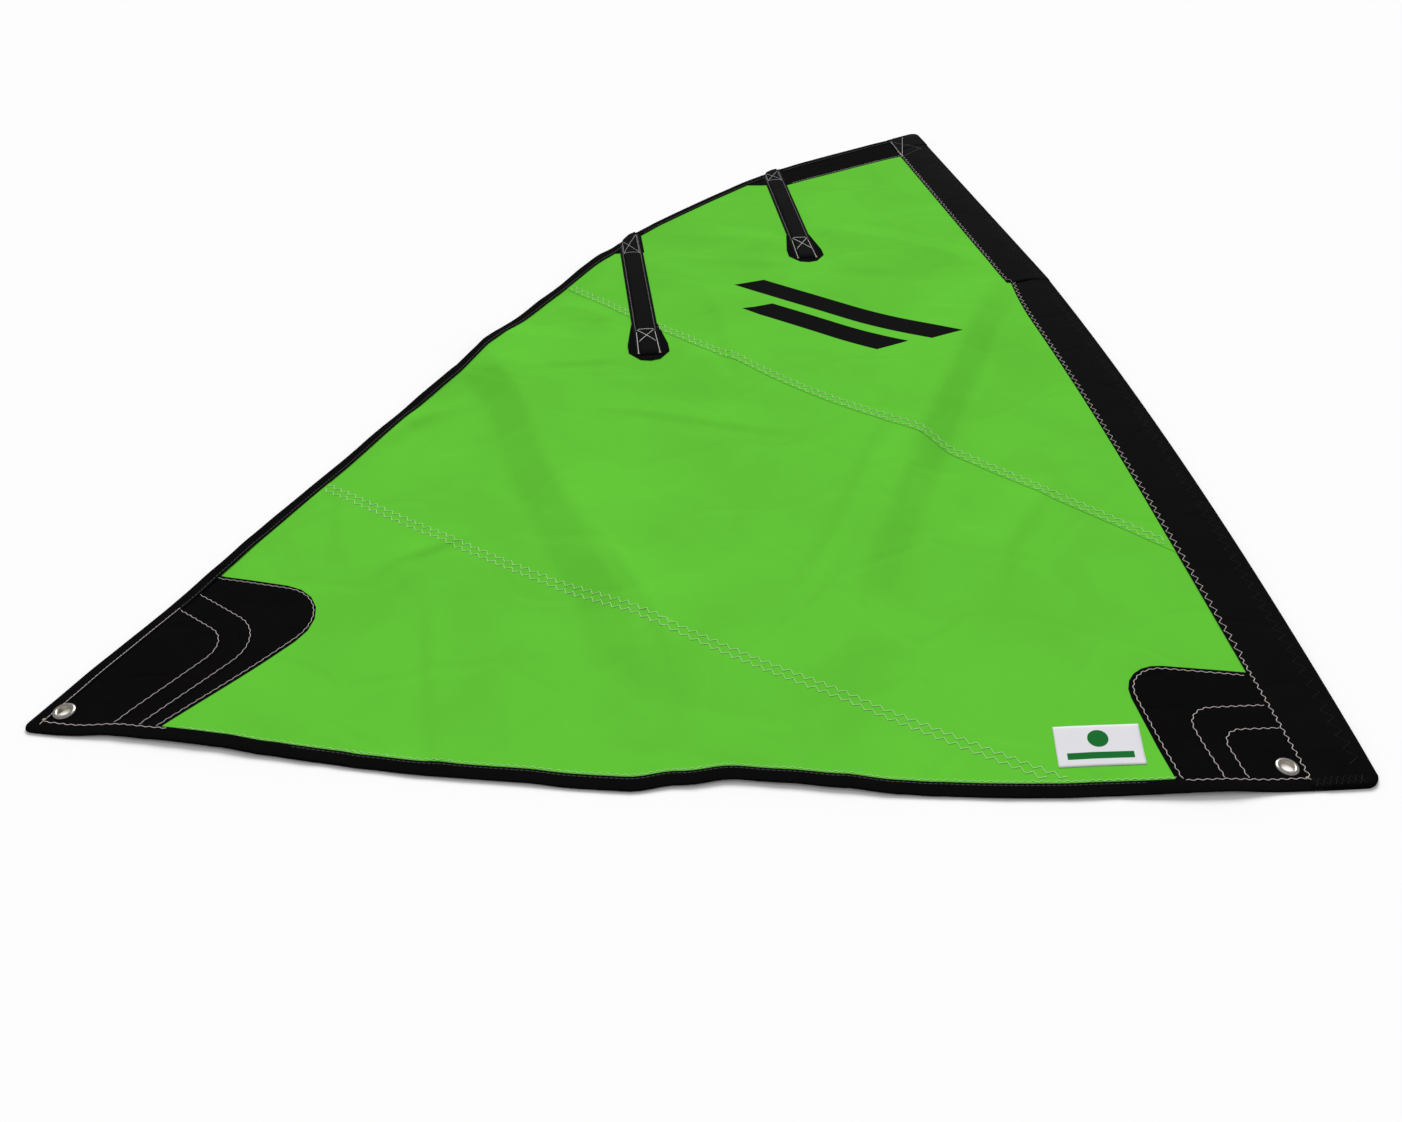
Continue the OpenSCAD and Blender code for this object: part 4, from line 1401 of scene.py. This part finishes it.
# Each tack patch: its width and height, how far its top slopes down, the radius of its corner, and
# how far in from its edge it is sewn
TACK_PATCHES = ((123, 183, 38, 42, 5), (81, 115, 4, 30, 3), (58, 84, 4, 24, 3))
# Each clew patch: how far its nose is ahead of the clew and above it, the slopes of its upper and
# lower side in degrees, the radius of its nose, and how far in from its edge it is sewn
CLEW_PATCHES = ((306, 171, 17.7, 48.2, 58, 6), (222, 119, 38.5, 52.2, 54, 4),
                (183, 113, 38.5, 53.5, 38, 4))


class SAIL_OT_patch_stitches(bpy.types.Operator):
    """Sew round the corner patches"""

    bl_idname = "sail.patch_stitches"
    bl_label = "Patch stitches"

    def execute(self, context):
        rows = []
        for layer, (w, h, drop, radius, back) in enumerate(TACK_PATCHES):
            nose = Vector((-SLEEVE_FOOT_W - w + back, h - back))
            top = Vector((-62, h - drop * (w + 6) / (w + SLEEVE_FOOT_W) - back))
            foot = Vector((nose.x + 1, foot_y(nose.x) + 13))
            line = nosed_line(top, nose, foot, radius - back)
            rows.append(wavy(line, STRAIGHT_PITCH, 0.75, over(PANEL_TOP + PLY * layer + 0.15)))
        thread_piece("tack_patch_stitches", rows, "light_thread", 0.38)
        rows = []
        for layer, (reach, up, rise, fall, radius, back) in enumerate(CLEW_PATCHES):
            rise, fall = math.radians(rise), math.radians(fall)
            upper_way = Vector((-math.cos(rise), math.sin(rise)))
            lower_way = Vector((-math.cos(fall), -math.sin(fall)))
            nose = CLEW + Vector((reach, up)) + (upper_way + lower_way).normalized() * back * 1.25
            ends = (nose + upper_way * reach, nose + lower_way * reach)
            line = nosed_line(ends[0], nose, ends[1], radius - back)
            kept = [p for p in dense(line, 4) if inside_tapes(p)]
            height = over(PANEL_TOP + PLY + PLY * layer + 0.25)
            rows.append(wavy(kept, STRAIGHT_PITCH, 0.5, height))
        thread_piece("clew_patch_stitches", rows, "light_thread", 0.32)
        return {"FINISHED"}


BOX_HALF = 13.4
SIDE_ROW = 15.4
END_ROW = 16.2


class SAIL_OT_pocket_stitches(bpy.types.Operator):
    """Sew the sides, boxes and crosses of the pockets"""

    bl_idname = "sail.pocket_stitches"
    bl_label = "Pocket stitches"

    def execute(self, context):
        for which, pocket in POCKETS.items():

            def on(u, v, which=which):
                x, y, z = pocket_point(which, u, v, 0.42)
                return Vector((x, y, z + lift(x, y)))

            def straight(a, b, count):
                return [on(mix(a[0], b[0], k / count), mix(a[1], b[1], k / count))
                        for k in range(count + 1)]

            sides = []
            for u in (-SIDE_ROW, SIDE_ROW):
                v = -pocket.cross_start
                while v < mouth_line(which, u) - 14:
                    sides.append([on(u - 0.5, v), on(u, v + 1.9), on(u + 0.5, v + 3.6)])
                    v += 5.0
            low_left, low_right = (-BOX_HALF, -pocket.box), (BOX_HALF, -pocket.box)
            high_left = (-BOX_HALF, mouth_line(which, -BOX_HALF) - 6)
            high_right = (BOX_HALF, mouth_line(which, BOX_HALF) - 12)
            box = [straight(low_left, high_left, 12), straight(low_right, high_right, 12),
                   straight(low_left, high_right, 20), straight(low_right, high_left, 20),
                   straight(low_left, low_right, 12)]
            a, b, stop = -pocket.cross_start, -pocket.cross_stop, 3 - pocket.rows_stop
            ends = [straight((-BOX_HALF, a), (BOX_HALF, a), 12),
                    straight((-12.5, a - 3), (12.5, b), 20), straight((12.5, a - 3), (-12.5, b), 20),
                    straight((-14.5, a - 4), (-END_ROW, stop), 12),
                    straight((14.5, a - 4), (END_ROW, stop), 12)]
            for kind, runs, material, radius in (
                    ("_pocket_side_stitches", sides, "pocket_side_thread", 0.4),
                    ("_pocket_box_stitches", box, "pocket_thread", 0.4),
                    ("_pocket_end_stitches", ends, "box_thread", 0.5)):
                thread_piece(which + kind, runs, material, radius)
        return {"FINISHED"}


KNOT_R = 1.5


class SAIL_OT_knots(bpy.types.Operator):
    """Tie off the ends of the rows with small knots"""

    bl_idname = "sail.knots"
    bl_label = "Knots"

    def execute(self, context):
        at = Vector((-66.5, foot_line(-66.5, 60) + 14))
        places = [(at.x, at.y, over_tape(at.x, at.y) - 0.2)]
        for which, pocket in POCKETS.items():
            places += [pocket_point(which, u, 2 - pocket.rows_stop, 0.5) for u in (-END_ROW, END_ROW)]
        p = inset(leech_side, 12)(0.985)
        places.append((p.x, p.y, over_tape(p.x, p.y) - 0.1))
        bm = bmesh.new()
        for x, y, z in places:
            made = bmesh.ops.create_icosphere(bm, subdivisions=2, radius=KNOT_R * MM)
            for v in made["verts"]:
                rough = 1 + 0.25 * noise.noise(v.co * 900 + Vector((x, y, 0)))
                v.co = Vector((v.co.x * 1.25, v.co.y, v.co.z * 0.5)) * rough
                v.co += place_cloth(x, y, z)
        finish_mesh("thread_knots", bm, thread("knot_thread"), sharp=80)
        return {"FINISHED"}


# ------------------------------------------------------------------ stage

FLOOR_TONE = 0.93
SKY_LIGHT = 0.53
LIGHT_TILT = -50
LIGHT_TURN = -7
LIGHT_SPREAD = 30
CAMERA_AT = (-0.6191, -0.6376, 0.8234)
CAMERA_TILT = 50.624
CAMERA_TURN = -5.291
LENS = 28.502


def add_object(name, data):
    made = bpy.data.objects.new(name, data)
    bpy.context.scene.collection.objects.link(made)
    return made


class SAIL_OT_studio(bpy.types.Operator):
    """Set the pale floor, the soft light and the camera"""

    bl_idname = "sail.studio"
    bl_label = "Studio"

    def execute(self, context):
        scene = context.scene
        bm = bmesh.new()
        bmesh.ops.create_grid(bm, x_segments=1, y_segments=1, size=30)
        mesh = bpy.data.meshes.new("studio_floor")
        bm.to_mesh(mesh)
        bm.free()
        floor = add_object("studio_floor", mesh)
        pale = bpy.data.materials.new("pale_floor")
        pale.use_nodes = True
        shader = pale.node_tree.nodes["Principled BSDF"]
        shader.inputs["Base Color"].default_value = (FLOOR_TONE, FLOOR_TONE, FLOOR_TONE, 1)
        shader.inputs["Roughness"].default_value = 0.9
        shader.inputs["Specular IOR Level"].default_value = 0.0
        mesh.materials.append(pale)
        scene.world = bpy.data.worlds.new("studio_sky")
        scene.world.use_nodes = True
        sky = scene.world.node_tree.nodes["Background"]
        sky.inputs["Color"].default_value = (1, 1, 1, 1)
        sky.inputs["Strength"].default_value = SKY_LIGHT
        lamp = bpy.data.lights.new("head_side_light", "SUN")
        lamp.energy = sizes().light
        lamp.angle = math.radians(LIGHT_SPREAD)
        sun = add_object("head_side_light", lamp)
        sun.rotation_euler = (math.radians(LIGHT_TILT), 0, math.radians(LIGHT_TURN))
        lens = bpy.data.cameras.new("view_camera")
        lens.sensor_width = 36
        lens.lens = LENS
        lens.clip_start = 0.01
        lens.clip_end = 100
        camera = add_object("view_camera", lens)
        camera.location = CAMERA_AT
        camera.rotation_euler = (math.radians(CAMERA_TILT), 0, math.radians(CAMERA_TURN))
        bpy.context.scene.camera = camera
        scene.view_settings.view_transform = "Standard"
        return {"FINISHED"}


class SAIL_PT_panel(bpy.types.Panel):
    """Lists the steps that build the sail"""

    bl_label = "Windsurf sail"
    bl_idname = "SAIL_PT_panel"
    bl_space_type = "VIEW_3D"
    bl_region_type = "UI"
    bl_category = "Sail"

    def draw(self, context):
        for group in (context.scene.sail_sizes, context.scene.sail_looks):
            for key in group.bl_rna.properties.keys():
                if key not in ("rna_type", "name"):
                    self.layout.prop(group, key)
        for step in STEPS:
            self.layout.operator(step.bl_idname)


STEPS = (
    SAIL_OT_studio, SAIL_OT_panels, SAIL_OT_sleeve, SAIL_OT_binding, SAIL_OT_patches,
    SAIL_OT_pockets, SAIL_OT_battens, SAIL_OT_eyelets, SAIL_OT_label, SAIL_OT_seams,
    SAIL_OT_sleeve_stitches, SAIL_OT_edge_stitches, SAIL_OT_patch_stitches,
    SAIL_OT_pocket_stitches, SAIL_OT_knots,
)
CLASSES = (SailLooks, SailSizes, *STEPS, SAIL_PT_panel)


def register():
    for made in CLASSES:
        bpy.utils.register_class(made)
    bpy.types.Scene.sail_looks = bpy.props.PointerProperty(type=SailLooks)
    bpy.types.Scene.sail_sizes = bpy.props.PointerProperty(type=SailSizes)


def unregister():
    del bpy.types.Scene.sail_sizes
    del bpy.types.Scene.sail_looks
    for made in reversed(CLASSES):
        bpy.utils.unregister_class(made)


def main():
    register()
    for step in STEPS:
        group, call = step.bl_idname.split(".")
        getattr(getattr(bpy.ops, group), call)()


if __name__ == "__main__":
    main()
